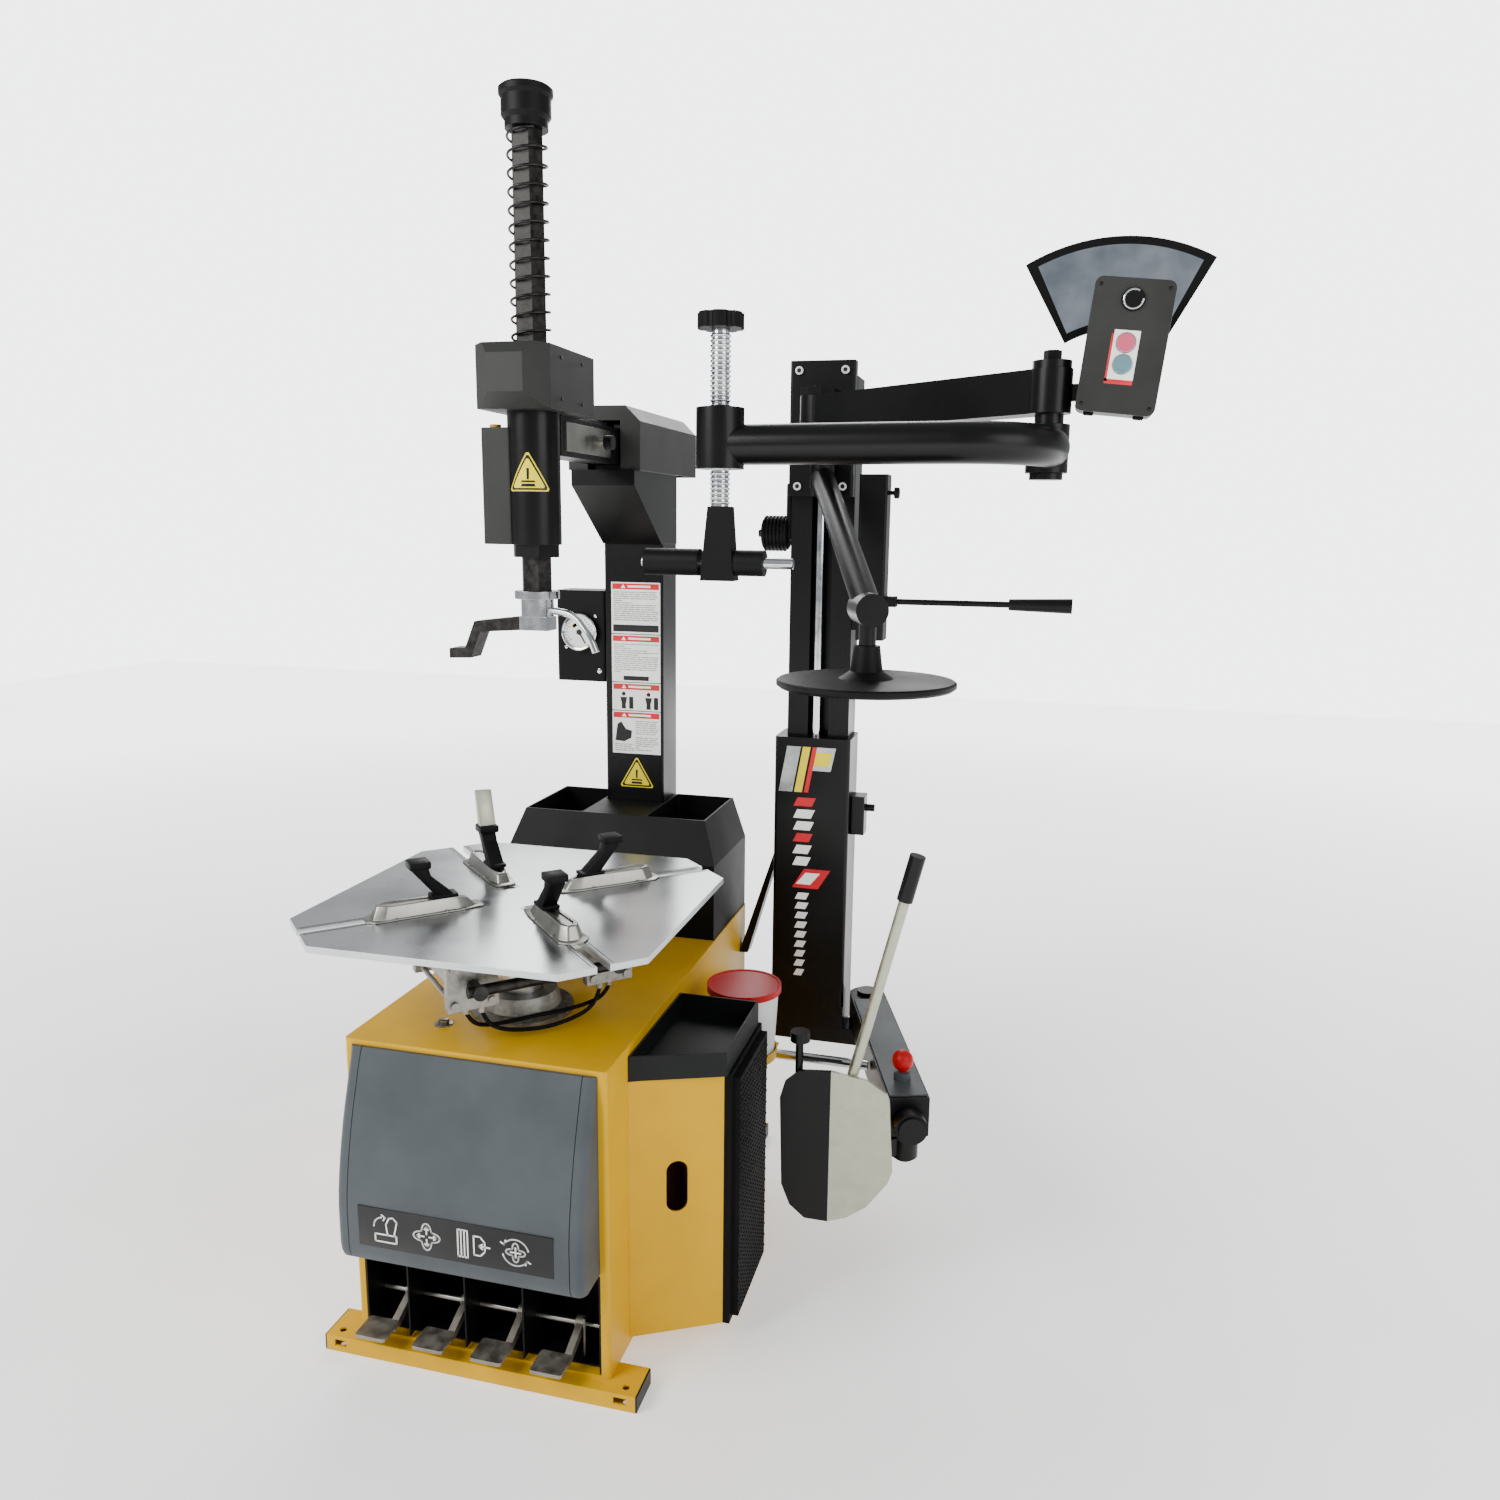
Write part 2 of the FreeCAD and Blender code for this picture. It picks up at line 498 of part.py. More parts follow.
def box_outline(inset):
    """The side box seen from above, with its slanted front face."""
    return [(f"{side} + {inset}", f"box_front + 1.4 * ({inset})"),
            (f"{box_face} - {inset}", f"box_nose + 0.75 * ({inset})"),
            (f"{box_face} - {inset}", f"box_back - {inset}"), (f"{side} + {inset}", f"box_back - {inset}")]


outer = pad("box_outside", "xy", box_outline("0"), "box_top - box_low", ("0", "0", "box_low"))
inner = pad("box_inside", "xy", box_outline("sheet"), "box_top - box_low - 2 * sheet",
            ("0", "0", "box_low + sheet"))
slot_middle = (f"{side} + 0.57 * box_out", "box_front + 0.57 * (box_nose - box_front)")
slot_turn = ((0, 0, 1), "atan((box_nose - box_front) / box_out)")
slot_parts = [block("box_slot_web", ("2 * box_slot_radius", "40", "box_slot_long"), ("0", "0", "0"))]
for end, high in (("low", "0"), ("top", "box_slot_long")):
    slot_parts.append(rod("box_slot_" + end, "box_slot_radius", "40", ("box_slot_radius", "0", high), "y"))
slot_tool = lay(join("box_slot", *slot_parts),
                (f"{slot_middle[0]} - box_slot_radius", f"{slot_middle[1]} - 30",
                 "box_slot_high - box_slot_long / 2"), slot_turn)
keep(cut("side_box", outer, inner, slot_tool), "side_box")


def tray_outline(inset):
    """The tray seen from above; it follows the box and overhangs it a little."""
    return [(f"{side} + 1 + {inset}", f"box_front + 3 + 1.4 * ({inset})"),
            (f"{box_face} + tray_lip - {inset}", f"box_nose - 16 + 0.75 * ({inset})"),
            (f"{box_face} + tray_lip - {inset}", f"box_back - 12 - {inset}"),
            (f"{side} + 1 + {inset}", f"box_back - 12 - {inset}")]


tray = pad("tray_outside", "xy", tray_outline("0"), "tray_high", ("0", "0", "box_top"))
bowl = pad("tray_inside", "xy", tray_outline("tray_wall"), "tray_high", ("0", "0", "box_top + tray_wall"))
keep(cut("tool_tray", tray, bowl), "tool_tray")

rest_long = "box_back - box_nose"
rest_high = "rest_top - box_low"
frame = block("rest_block", ("rest_frame", rest_long, rest_high), (box_face, "box_nose", "box_low"))
keep(frame, "wheel_rest_frame")
keep(slab("wheel_rest_rubber", "rest_rubber", f"{rest_long} - 2 * rest_border",
          f"{rest_high} - 2 * rest_border",
          (f"{box_face} + rest_frame", "box_nose + rest_border", "box_low + rest_border")),
     "wheel_rest_rubber")

holder_floor = slab("holder_floor", "holder_wide", "holder_deep", "holder_thick",
                    (side, "bucket_y - holder_deep / 2", "bucket_low - holder_thick"))
holder_wall = turned("holder_wall",
                     [("bucket_foot + 3", "0"), ("bucket_foot + 6", "0"),
                      ("bucket_foot + 8", "holder_rim"), ("bucket_foot + 5", "holder_rim")],
                     ("bucket_x", "bucket_y", "bucket_low"))
keep(join("bucket_holder", holder_floor, holder_wall), "bucket_holder")
keep(turned("paste_bucket",
            [("0", "0"), ("bucket_foot", "0"), ("bucket_radius", "bucket_high"),
             ("bucket_radius - bucket_wall", "bucket_high"),
             ("bucket_foot - bucket_wall", "bucket_wall"), ("0", "bucket_wall")],
            ("bucket_x", "bucket_y", "bucket_low")), "paste_bucket")
keep(turned("bucket_lid",
            [("0", "0"), ("bucket_radius + 0.5", "0"), ("bucket_radius + 0.5", "-lid_high + 5"),
             ("lid_radius", "-lid_high + 5"), ("lid_radius", "5"), ("lid_radius - 5", "5"),
             ("lid_radius - 7", "3"), ("0", "3")],
            ("bucket_x", "bucket_y", "bucket_low + bucket_high + 0.3")), "bucket_lid")

# ---- Turntable and jaws ------------------------------------------------------

table_low = "table_top - table_thick"
half = "table_side / 2"
edge = "(table_side / 2 - table_cut)"
plate = pad("table_plate", "xy",
            [(f"-{edge}", f"-{half}"), (edge, f"-{half}"), (half, f"-{edge}"), (half, edge),
             (edge, half), (f"-{edge}", half), (f"-{half}", edge), (f"-{half}", f"-{edge}")],
            "table_thick", ("0", "table_y", table_low))
grooves = []
for i in range(4):
    turn = ((0, 0, 1), f"{45 + 90 * i}")
    long_groove = pad(f"table_groove_{i}", "xy",
                      [("groove_start", "-groove_wide / 2"), ("table_side", "-groove_wide / 2"),
                       ("table_side", "groove_wide / 2"), ("groove_start", "groove_wide / 2")],
                      "table_thick + 2", ("0", "table_y", f"{table_low} - 1"), turn)
    grooves.append(long_groove)
keep(cut("turntable", plate, *grooves), "turntable")

keep(turned("gearbox_hub",
            [("spindle_radius + hub_gap", "0"), ("hub_radius + 24", "0"), ("hub_radius + 24", "10"),
             ("hub_radius", "16"), ("hub_radius - 8", "hub_high"),
             ("spindle_radius + hub_gap", "hub_high")],
            ("0", "table_y", "cab_top")), "gearbox_hub")
keep(turned("table_spindle",
            [("0", "spindle_gap - sheet"), ("spindle_radius", "spindle_gap - sheet"),
             ("spindle_radius", f"{table_low} - flange_thick - cab_top"),
             ("flange_radius", f"{table_low} - flange_thick - cab_top"),
             ("flange_radius", f"{table_low} - cab_top"), ("0", f"{table_low} - cab_top")],
            ("0", "table_y", "cab_top")), "table_spindle")


def on_table(piece, high="0"):
    """Turn a piece drawn along +X about the spindle onto the front-right diagonal."""
    return lay(piece, ("0", "table_y", high), ((0, 0, 1), "-45"))


for number, side_y in ((1, "-cylinder_apart"), (2, "cylinder_apart")):
    barrel = rod(f"barrel_{number}", "cylinder_radius", "cylinder_long - 2 * head_thick",
                 ("-cylinder_long / 2 + head_thick", side_y, "cylinder_high"), "x")
    hangers = [block(f"hanger_{number}_{end}", ("28", "30", f"{table_low} - cylinder_high"),
                     (left, f"{side_y} - 15", "cylinder_high"))
               for end, left in enumerate(("-hanger_in - 28", "hanger_in"))]
    bore = rod(f"barrel_bore_{number}", "cylinder_radius - barrel_wall",
               "cylinder_long - 2 * head_thick + 2",
               ("-cylinder_long / 2 + head_thick - 1", side_y, "cylinder_high"), "x")
    keep(on_table(cut(f"clamp_barrel_{number}", join(f"barrel_solid_{number}", barrel, *hangers), bore)),
         f"clamp_cylinder_{number}")
    heads = []
    for end, left in ((0, "-cylinder_long / 2"), (1, "cylinder_long / 2 - head_thick")):
        head = slab(f"head_{number}_{end}", "head_thick", "cylinder_head", "cylinder_head",
                    (left, f"{side_y} - cylinder_head / 2", "cylinder_high - cylinder_head / 2"))
        bore = rod(f"head_bore_{number}_{end}", "rod_radius + 0.06", "head_thick + 2",
                   (f"{left} - 1", side_y, "cylinder_high"), "x")
        heads.append(cut(f"head_solid_{number}_{end}", head, bore) if end else head)
    keep(on_table(join(f"clamp_heads_{number}", *heads)), f"clamp_heads_{number}")
    ties = []
    for row in (-1, 1):
        for column in (-1, 1):
            ties.append(rod(f"tie_{number}_{row + 1}_{column + 1}", "tie_radius",
                            "cylinder_long - 2 * head_thick",
                            ("-cylinder_long / 2 + head_thick",
                             f"{side_y} + {row} * (cylinder_head / 2 - tie_in)",
                             f"cylinder_high + {column} * (cylinder_head / 2 - tie_in)"), "x"))
            ties.append(rod(f"nut_{number}_{row + 1}_{column + 1}", "tie_radius + 3", "7",
                            ("cylinder_long / 2", f"{side_y} + {row} * (cylinder_head / 2 - tie_in)",
                             f"cylinder_high + {column} * (cylinder_head / 2 - tie_in)"), "x"))
    keep(on_table(join(f"tie_rods_{number}", *ties)), f"tie_rods_{number}")

push_parts = [rod("crossbar", "crossbar_radius", "2 * cylinder_apart + 40",
                  ("cylinder_long / 2 + rod_out", "-cylinder_apart - 20", "cylinder_high"), "y")]
for number, side_y in ((1, "-cylinder_apart"), (2, "cylinder_apart")):
    push_parts.append(rod(f"piston_rod_{number}", "rod_radius", "cylinder_long / 2 + rod_out",
                          ("0", side_y, "cylinder_high"), "x"))
    push_parts.append(rod(f"piston_{number}", "cylinder_radius - barrel_wall - 0.3", "piston_thick",
                          ("-piston_thick / 2", side_y, "cylinder_high"), "x"))
    push_parts.append(rod(f"end_nut_{number}", "rod_radius + 3", "9",
                          ("cylinder_long / 2 + rod_out + 8", side_y, "cylinder_high"), "x"))
keep(on_table(join("clamp_rods_solid", *push_parts)), "clamp_rods")

JAW_NAMES = ("front_right", "back_right", "back_left", "front_left")
for i, spot in enumerate(JAW_NAMES):
    turn = ((0, 0, 1), f"{-45 + 90 * i}")
    foot = "jaw_gap"
    cover = pad(f"jaw_cover_{i}", "xz",
                [("jaw_start", foot), ("jaw_start + jaw_long", foot),
                 ("jaw_start + jaw_long - 14", "jaw_high - 6"), ("jaw_start + jaw_long - 46", "jaw_high"),
                 ("jaw_start + 52", "jaw_high"), ("jaw_start + 6", "10")],
                "jaw_wide", ("0", "jaw_wide / 2", "0"))
    slope_left = pad(f"jaw_slope_left_{i}", "yz",
                     [("jaw_wide / 2 + 1", "8"), ("jaw_wide / 2 + 1", "jaw_high + 1"),
                      ("jaw_wide / 2 - 13", "jaw_high + 1")], "jaw_long + 2", ("jaw_start - 1", "0", "0"))
    slope_right = pad(f"jaw_slope_right_{i}", "yz",
                      [("-jaw_wide / 2 - 1", "8"), ("-jaw_wide / 2 - 1", "jaw_high + 1"),
                       ("-jaw_wide / 2 + 13", "jaw_high + 1")], "jaw_long + 2",
                      ("jaw_start - 1", "0", "0"))
    stem = block(f"jaw_stem_{i}", ("jaw_long - 60", "stem_wide", "table_thick + 2 * jaw_gap"),
                 ("jaw_start + 30", "-stem_wide / 2", "-table_thick - jaw_gap"))
    keeper = block(f"jaw_keeper_{i}", ("jaw_long - 60", "keeper_wide", "keeper_thick"),
                   ("jaw_start + 30", "-keeper_wide / 2", "-table_thick - jaw_gap - keeper_thick"))
    carrier = join(f"jaw_solid_{i}", cut(f"jaw_shaped_{i}", cover, slope_left, slope_right), stem, keeper)
    keep(lay(carrier, ("0", "table_y", "table_top"), turn), f"jaw_carrier_{spot}")
    tall = "hook_extra" if spot == "back_left" else "0"
    claw = pad(f"jaw_claw_{i}", "xz",
               [("hook_foot", "jaw_high"), ("hook_foot + hook_deep", "jaw_high"),
                ("hook_foot + hook_deep + hook_lean", "jaw_high + hook_high - hook_nose"),
                (f"hook_foot + hook_deep + hook_lean + 12 + 0.3 * {tall}",
                 f"jaw_high + hook_high + {tall}"),
                (f"hook_foot + hook_lean + 8 + 0.3 * {tall}", f"jaw_high + hook_high + {tall}"),
                ("hook_foot + hook_lean", "jaw_high + hook_high - hook_nose - 12")],
               "hook_wide", ("0", "hook_wide / 2", "0"))
    claw_foot = block(f"jaw_claw_foot_{i}", ("hook_deep + 16", "hook_wide", "5"),
                      ("hook_foot - 6", "-hook_wide / 2", "jaw_high"))
    keep(lay(join(f"jaw_claw_solid_{i}", claw, claw_foot), ("0", "table_y", "table_top"), turn),
         f"jaw_hook_{spot}")

# ---- Drive inside the cabinet ------------------------------------------------

gear_low = "cab_top - sheet - gear_high"
keep(block("gearbox", ("gear_wide", "gear_deep", "gear_high"),
           ("-gear_wide / 2", "table_y - gear_deep / 2", gear_low)), "gearbox")
keep(rod("motor", "motor_radius", "motor_long",
         ("0", "table_y + gear_deep / 2", f"{gear_low} + gear_high / 2"), "y"), "motor")

# The bead breaker's air cylinder lies across the cabinet, against its right wall.
bore_left = "cab_wide / 2 - sheet - bore_long"
bore_out = rod("bore_outside", "bore_radius", "bore_long", (bore_left, "piston_y", "piston_high"), "x")
bore_in = rod("bore_inside", "bore_radius - bore_wall", "bore_long - 2 * bore_cap",
              (f"{bore_left} + bore_cap", "piston_y", "piston_high"), "x")
bore_exit = rod("bore_exit", "piston_radius + 0.06", "bore_cap + 2",
                ("cab_wide / 2 - sheet - bore_cap - 1", "piston_y", "piston_high"), "x")
keep(cut("bead_bore", bore_out, bore_in, bore_exit), "bead_cylinder")
piston_start = f"{bore_left} + bore_cap + 60"
beam_face = ("breaker_x + (breaker_y - piston_y) * tan(breaker_angle)"
             " - breaker_wide / 2 / cos(breaker_angle)")
keep(join("bead_piston_solid",
          rod("bead_piston_disc", "bore_radius - bore_wall - 0.4", "24",
              (piston_start, "piston_y", "piston_high"), "x"),
          rod("bead_piston_rod", "piston_radius", f"{beam_face} - piston_gap - 24 - ({piston_start})",
              (f"{piston_start} + 24", "piston_y", "piston_high"), "x")), "bead_piston")

# ---- Post hood ---------------------------------------------------------------

hood_half = "hood_wide / 2"
hood_body = pad("hood_body", "xz",
                [(f"-{hood_half}", "cab_top"), (hood_half, "cab_top"), (hood_half, "hood_shoulder"),
                 (f"{hood_half} - hood_inset", "hood_top"), (f"-{hood_half} + hood_inset", "hood_top"),
                 (f"-{hood_half}", "hood_shoulder")],
                "hood_back - hood_front", ("0", "hood_back", "0"))
hood_slope = pad("hood_slope", "yz",
                 [("hood_front - 1", "hood_shoulder"), ("hood_front", "hood_shoulder"),
                  ("hood_brow", "hood_top"), ("hood_brow", "hood_top + 1"),
                  ("hood_front - 1", "hood_top + 1")],
                 "hood_wide + 2", (f"-{hood_half} - 1", "0", "0"))
well = block("hood_well", ("post_wide + 2 * post_clear", "hood_back - post_front + post_clear + 1",
                           "hood_top - cab_top + 2"),
             ("-post_wide / 2 - post_clear", "post_front - post_clear", "cab_top - 1"))
pockets = []
for side_name, left in (("left", f"-{hood_half} + hood_inset + hood_wall"),
                        ("right", "post_wide / 2 + post_clear + hood_wall")):
    pockets.append(slab(f"hood_pocket_{side_name}",
                        f"{hood_half} - hood_inset - post_wide / 2 - post_clear - 2 * hood_wall",
                        "hood_back - hood_brow - 2 * hood_wall", "pocket_deep + 1",
                        (left, "hood_brow + hood_wall", "hood_top - pocket_deep"), rounding="8"))
room_high = "hood_top - pocket_deep - hood_wall - cab_top"
side_room = f"{hood_half} - post_wide / 2 - post_clear - 2 * hood_wall"
rooms = [block(f"hood_room_{side_name}", (side_room, "hood_back - hood_front - 2 * hood_wall",
                                          f"{room_high} + 1"),
               (left, "hood_front + hood_wall", "cab_top - 1"))
         for side_name, left in (("left", f"-{hood_half} + hood_wall"),
                                 ("right", "post_wide / 2 + post_clear + hood_wall"))]
rooms.append(block("hood_room_front", ("post_wide + 2 * post_clear - 2 * hood_wall",
                                       "post_front - post_clear - hood_front - 2 * hood_wall",
                                       f"{room_high} + 1"),
                   ("-post_wide / 2 - post_clear + hood_wall", "hood_front + hood_wall", "cab_top - 1")))
keep(cut("post_hood", hood_body, hood_slope, well, *pockets, *rooms), "post_hood")

# ---- Tilting post ------------------------------------------------------------

lugs = []
for i, left in enumerate(("-crank_wide / 2 - 1 - lug_thick", "crank_wide / 2 + 1")):
    plate = block(f"lug_plate_{i}", ("lug_thick", "2 * lug_radius", "tilt_high - cab_top"),
                  (left, "tilt_y - lug_radius", "cab_top"))
    crown = rod(f"lug_crown_{i}", "lug_radius", "lug_thick", (left, "tilt_y", "tilt_high"), "x")
    lugs += [plate, crown]
lug_bore = rod("lug_bore", "pin_radius", "crank_wide + 2 * lug_thick + 10",
               ("-crank_wide / 2 - lug_thick - 5", "tilt_y", "tilt_high"), "x")
keep(cut("tilt_lugs_solid", join("tilt_lug_parts", *lugs), lug_bore), "tilt_lugs")
keep(rod("tilt_pin", "pin_radius", "crank_wide + 2 * lug_thick + 6",
         ("-crank_wide / 2 - lug_thick - 3", "tilt_y", "tilt_high"), "x"), "tilt_pin")

tube = slab("post_outside", "post_wide", "post_deep", "post_top - post_foot",
            ("-post_wide / 2", "post_front", "post_foot"), rounding="6")
core = block("post_inside", ("post_wide - 2 * post_wall", "post_deep - 2 * post_wall",
                             "post_top - post_foot"),
             ("-post_wide / 2 + post_wall", "post_front + post_wall", "post_foot + 8"))
crank_front = "tilt_y + crank_back - crank_deep"
crank = block("crank_bar", ("crank_wide", "crank_deep", "crank_drop + post_foot - tilt_high"),
              ("-crank_wide / 2", crank_front, "tilt_high - crank_drop"))
crank_boss = rod("crank_boss_round", "crank_boss", "crank_wide",
                 ("-crank_wide / 2", "tilt_y", "tilt_high"), "x")
crank_bore = rod("crank_bore", "pin_radius + 0.06", "crank_wide + 2",
                 ("-crank_wide / 2 - 1", "tilt_y", "tilt_high"), "x")
keep(cut("post_tube", tube, core), "tilt_post")
keep(cut("crank_solid", join("crank_parts", crank, crank_boss), crank_bore), "tilt_crank")

tilt_back = "tilt_cylinder_front + tilt_cylinder_long"
tilt_out = rod("tilt_outside", "tilt_cylinder_radius", "tilt_cylinder_long",
               ("0", "tilt_cylinder_front", "tilt_rod_high"), "y")
tilt_in = rod("tilt_inside", "tilt_cylinder_radius - 4", "tilt_cylinder_long - 24",
              ("0", "tilt_cylinder_front + 12", "tilt_rod_high"), "y")
tilt_exit = rod("tilt_exit", "tilt_rod_radius + 0.06", "14", ("0", f"{tilt_back} - 13", "tilt_rod_high"),
                "y")
tilt_hanger = block("tilt_hanger", ("30", "40", "cab_top - sheet - tilt_rod_high"),
                    ("-15", "tilt_cylinder_front + 20", "tilt_rod_high"))
keep(cut("tilt_cylinder_solid", join("tilt_cylinder_parts", tilt_out, tilt_hanger), tilt_in, tilt_exit),
     "tilt_cylinder")
keep(join("tilt_rod_solid",
          rod("tilt_piston", "tilt_cylinder_radius - 4.4", "14",
              ("0", f"{tilt_back} - 50", "tilt_rod_high"), "y"),
          rod("tilt_stem", "tilt_rod_radius", f"{crank_front} - tilt_rod_gap - ({tilt_back}) + 50",
              ("0", f"{tilt_back} - 50", "tilt_rod_high"), "y")), "tilt_rod")

cheek = [("post_front", "post_top"), ("post_front + post_deep", "post_top"),
         ("post_front + post_deep", "cheek_top"), ("cheek_reach", "cheek_top"),
         ("cheek_reach", "cheek_top - 34")]
cheeks = [pad(f"cheek_{i}", "yz", cheek, "cheek_thick", (left, "0", "0"))
          for i, left in enumerate(("-post_wide / 2", "post_wide / 2 - cheek_thick"))]
cheek_back = block("cheek_back", ("post_wide - 2 * cheek_thick", "cheek_thick", "cheek_top - post_top"),
                   ("-post_wide / 2 + cheek_thick", "post_front + post_deep - cheek_thick", "post_top"))
keep(join("head_cheeks_solid", *cheeks, cheek_back), "head_cheeks")
keep(pad("flap_plate", "yz",
         [("post_front - 5", "post_top"), ("cheek_reach - 5", "cheek_top - 34"),
          ("cheek_reach - 5", "cheek_top"), ("cheek_reach", "cheek_top"),
          ("cheek_reach", "cheek_top - 34"), ("post_front", "post_top")],
         "post_wide", ("-post_wide / 2", "0", "0")), "front_flap")

guide_low = "cheek_top"
guide_deep = "post_front + post_deep - guide_front"
guide = block("guide_outside", ("guide_wide", guide_deep, "guide_high"),
              ("-guide_wide / 2", "guide_front", guide_low))
guide_bore = block("guide_bore", ("arm_wide + 2 * slide_gap", f"{guide_deep} + 2",
                                  "arm_high + 2 * slide_gap"),
                   ("-arm_wide / 2 - slide_gap", "guide_front - 1", "arm_low - slide_gap"))
guide_slot = block("guide_slot", ("rack_wide + 4", f"{guide_deep} + 2", "rack_high + 2"),
                   ("-rack_wide / 2 - 2", "guide_front - 1", "arm_low + arm_high - 1"))
keep(cut("arm_guide_solid", guide, guide_bore, guide_slot), "arm_guide")

cover_half = "cover_wide / 2"


def cover_solid(name, inset, start, stop, low):
    """The rear cover's section with its two bevelled top edges."""
    top = f"cheek_top + cover_high - {inset}"
    return pad(name, "xz",
               [(f"-{cover_half} + {inset}", low), (f"{cover_half} - {inset}", low),
                (f"{cover_half} - {inset}", f"{top} - cover_bevel"),
                (f"{cover_half} - {inset} - cover_bevel", top),
                (f"-{cover_half} + {inset} + cover_bevel", top),
                (f"-{cover_half} + {inset}", f"{top} - cover_bevel")],
               f"{stop} - ({start})", ("0", stop, "0"))


cover_out = cover_solid("cover_outside", "0", "cover_front", "cover_back", "cheek_top")
cover_in = cover_solid("cover_inside", "cover_wall", "cover_front + cover_wall",
                       "cover_back - cover_wall", "cheek_top - 1")
cover_door = block("cover_door", ("arm_wide + 12", "cover_wall + 2", "arm_high + rack_high + 20"),
                   ("-arm_wide / 2 - 6", "cover_front - 1", "cheek_top - 1"))
keep(cut("cover_solid", cover_out, cover_in, cover_door), "rear_cover")

keep(slab("gauge_case", "gauge_wide", "gauge_deep", "gauge_high",
          ("-post_wide / 2 - gauge_wide", "post_front + 8", "gauge_low"), rounding="10"), "gauge_box")
dial_front = "post_front + 8"
keep(rod("dial_body", "dial_radius", "dial_thick", ("dial_x", f"{dial_front} - dial_thick", "dial_high"),
         "y"),
     "pressure_gauge")

# ---- Horizontal arm ----------------------------------------------------------

arm_tube = block("arm_outside", ("arm_wide", "arm_back - arm_front", "arm_high"),
                 ("-arm_wide / 2", "arm_front", "arm_low"))
arm_core = block("arm_inside", ("arm_wide - 2 * arm_wall", "arm_back - arm_front + 2",
                                "arm_high - 2 * arm_wall"),
                 ("-arm_wide / 2 + arm_wall", "arm_front - 1", "arm_low + arm_wall"))
keep(cut("arm_solid", arm_tube, arm_core), "slide_arm")
keep(block("rack_bar", ("rack_wide", "rack_to - rack_from", "rack_high"),
           ("-rack_wide / 2", "rack_from", "arm_low + arm_high")), "arm_rack")
plate_high = "arm_high - 22"
knob_at = ("arm_wide / 2 + arm_plate_thick", "plate_to - 60", "arm_low + arm_high / 2")
keep(join("arm_plate_solid",
          block("arm_plate_bar", ("arm_plate_thick", "plate_to - plate_from", plate_high),
                ("arm_wide / 2", "plate_from", "arm_low + 11")),
          rod("arm_stop_stem", "7", "12", knob_at, "x")), "arm_plate")
keep(rod("arm_stop_knob", "15", "18", (f"{knob_at[0]} + 12", knob_at[1], knob_at[2]), "x"), "arm_stop_knob")

housing = rod("housing_round", "housing_radius", "housing_top - housing_low",
              ("0", "shaft_y", "housing_low"))
housing_bore = hexagon("housing_bore", "hexagon + 2 * shaft_gap", "housing_top - housing_low + 2",
                       ("0", "shaft_y", "housing_low - 1"))
keep(cut("housing_solid", housing, housing_bore), "shaft_housing")
head = pad("head_block", "xy",
           [("-head_nose", "head_front"), ("head_nose", "head_front"), ("head_right", "head_cheek"),
            ("head_right", "head_back"), ("-head_left", "head_back"), ("-head_left", "head_cheek")],
           "head_top - housing_top", ("0", "0", "housing_top"))
head_chin = pad("head_chin", "yz",
                [("head_front - 1", "housing_top - 1"), ("head_cheek", "housing_top - 1"),
                 ("head_front - 1", "housing_top + 26")], "240", ("-120", "0", "0"))
head_crown = pad("head_crown", "yz",
                 [("head_front - 1", "head_top - 22"), ("head_front + 18", "head_top + 1"),
                  ("head_front - 1", "head_top + 1")], "240", ("-120", "0", "0"))
head_bore = hexagon("head_bore", "hexagon + 2 * shaft_gap", "head_top - housing_top + 2",
                    ("0", "shaft_y", "housing_top - 1"))
keep(cut("head_solid", head, head_chin, head_crown, head_bore), "head_cover")

grip = slab("grip_block", "grip_out - 30", "grip_deep", "grip_top - grip_low",
            ("-grip_out", "shaft_y - grip_deep / 2", "grip_low"), rounding="8")
grip_clear = rod("grip_clear", "housing_radius", "grip_top - grip_low + 2",
                 ("0", "shaft_y", "grip_low - 1"))
button_well = rod("button_well", "button_radius + 0.4", "button_seat + 1",
                  ("button_x", "shaft_y", "grip_top - button_seat"))
keep(cut("grip_solid", grip, grip_clear, button_well), "lock_handle")
keep(rod("button_round", "button_radius", "button_high",
         ("button_x", "shaft_y", "grip_top - button_seat + button_travel")), "lock_button")
collar = hexagon("collar_outside", "collar_across", "housing_low - collar_low",
                 ("0", "shaft_y", "collar_low"))
collar_bore = hexagon("collar_bore", "hexagon + 2 * shaft_gap", "housing_low - collar_low + 2",
                      ("0", "shaft_y", "collar_low - 1"))
keep(cut("collar_solid", collar, collar_bore), "lock_collar")

# ---- Hexagonal shaft and mount head ------------------------------------------

keep(hexagon("shaft_bar", "hexagon", "shaft_top - shaft_low", ("0", "shaft_y", "shaft_low")),
     "hexagonal_shaft")
keep(turned("knob_body",
            [("0", "0"), ("knob_neck", "0"), ("knob_neck", "14"), ("knob_radius - 4", "22"),
             ("knob_radius - 4", "knob_high - 20"), ("knob_radius", "knob_high - 14"),
             ("knob_radius", "knob_high - 4"), ("knob_radius - 5", "knob_high"), ("0", "knob_high")],
            ("0", "shaft_y", "knob_low")), "shaft_knob")

coil_high = size("knob_low") - size("head_top") - 2 * size("coil_wire")
helix = Part.makeHelix(size("coil_pitch"), coil_high, size("coil_radius"))
coil_start = Part.Circle(V(size("coil_radius"), 0, 0), V(0, 1, 0), size("coil_wire"))
coil = Part.Wire(helix.Edges).makePipeShell([Part.Wire(coil_start.toShape())], True, True)
keep(shaped("coil_solid", coil, (0, size("shaft_y"), size("head_top") + size("coil_wire"))), "shaft_spring")

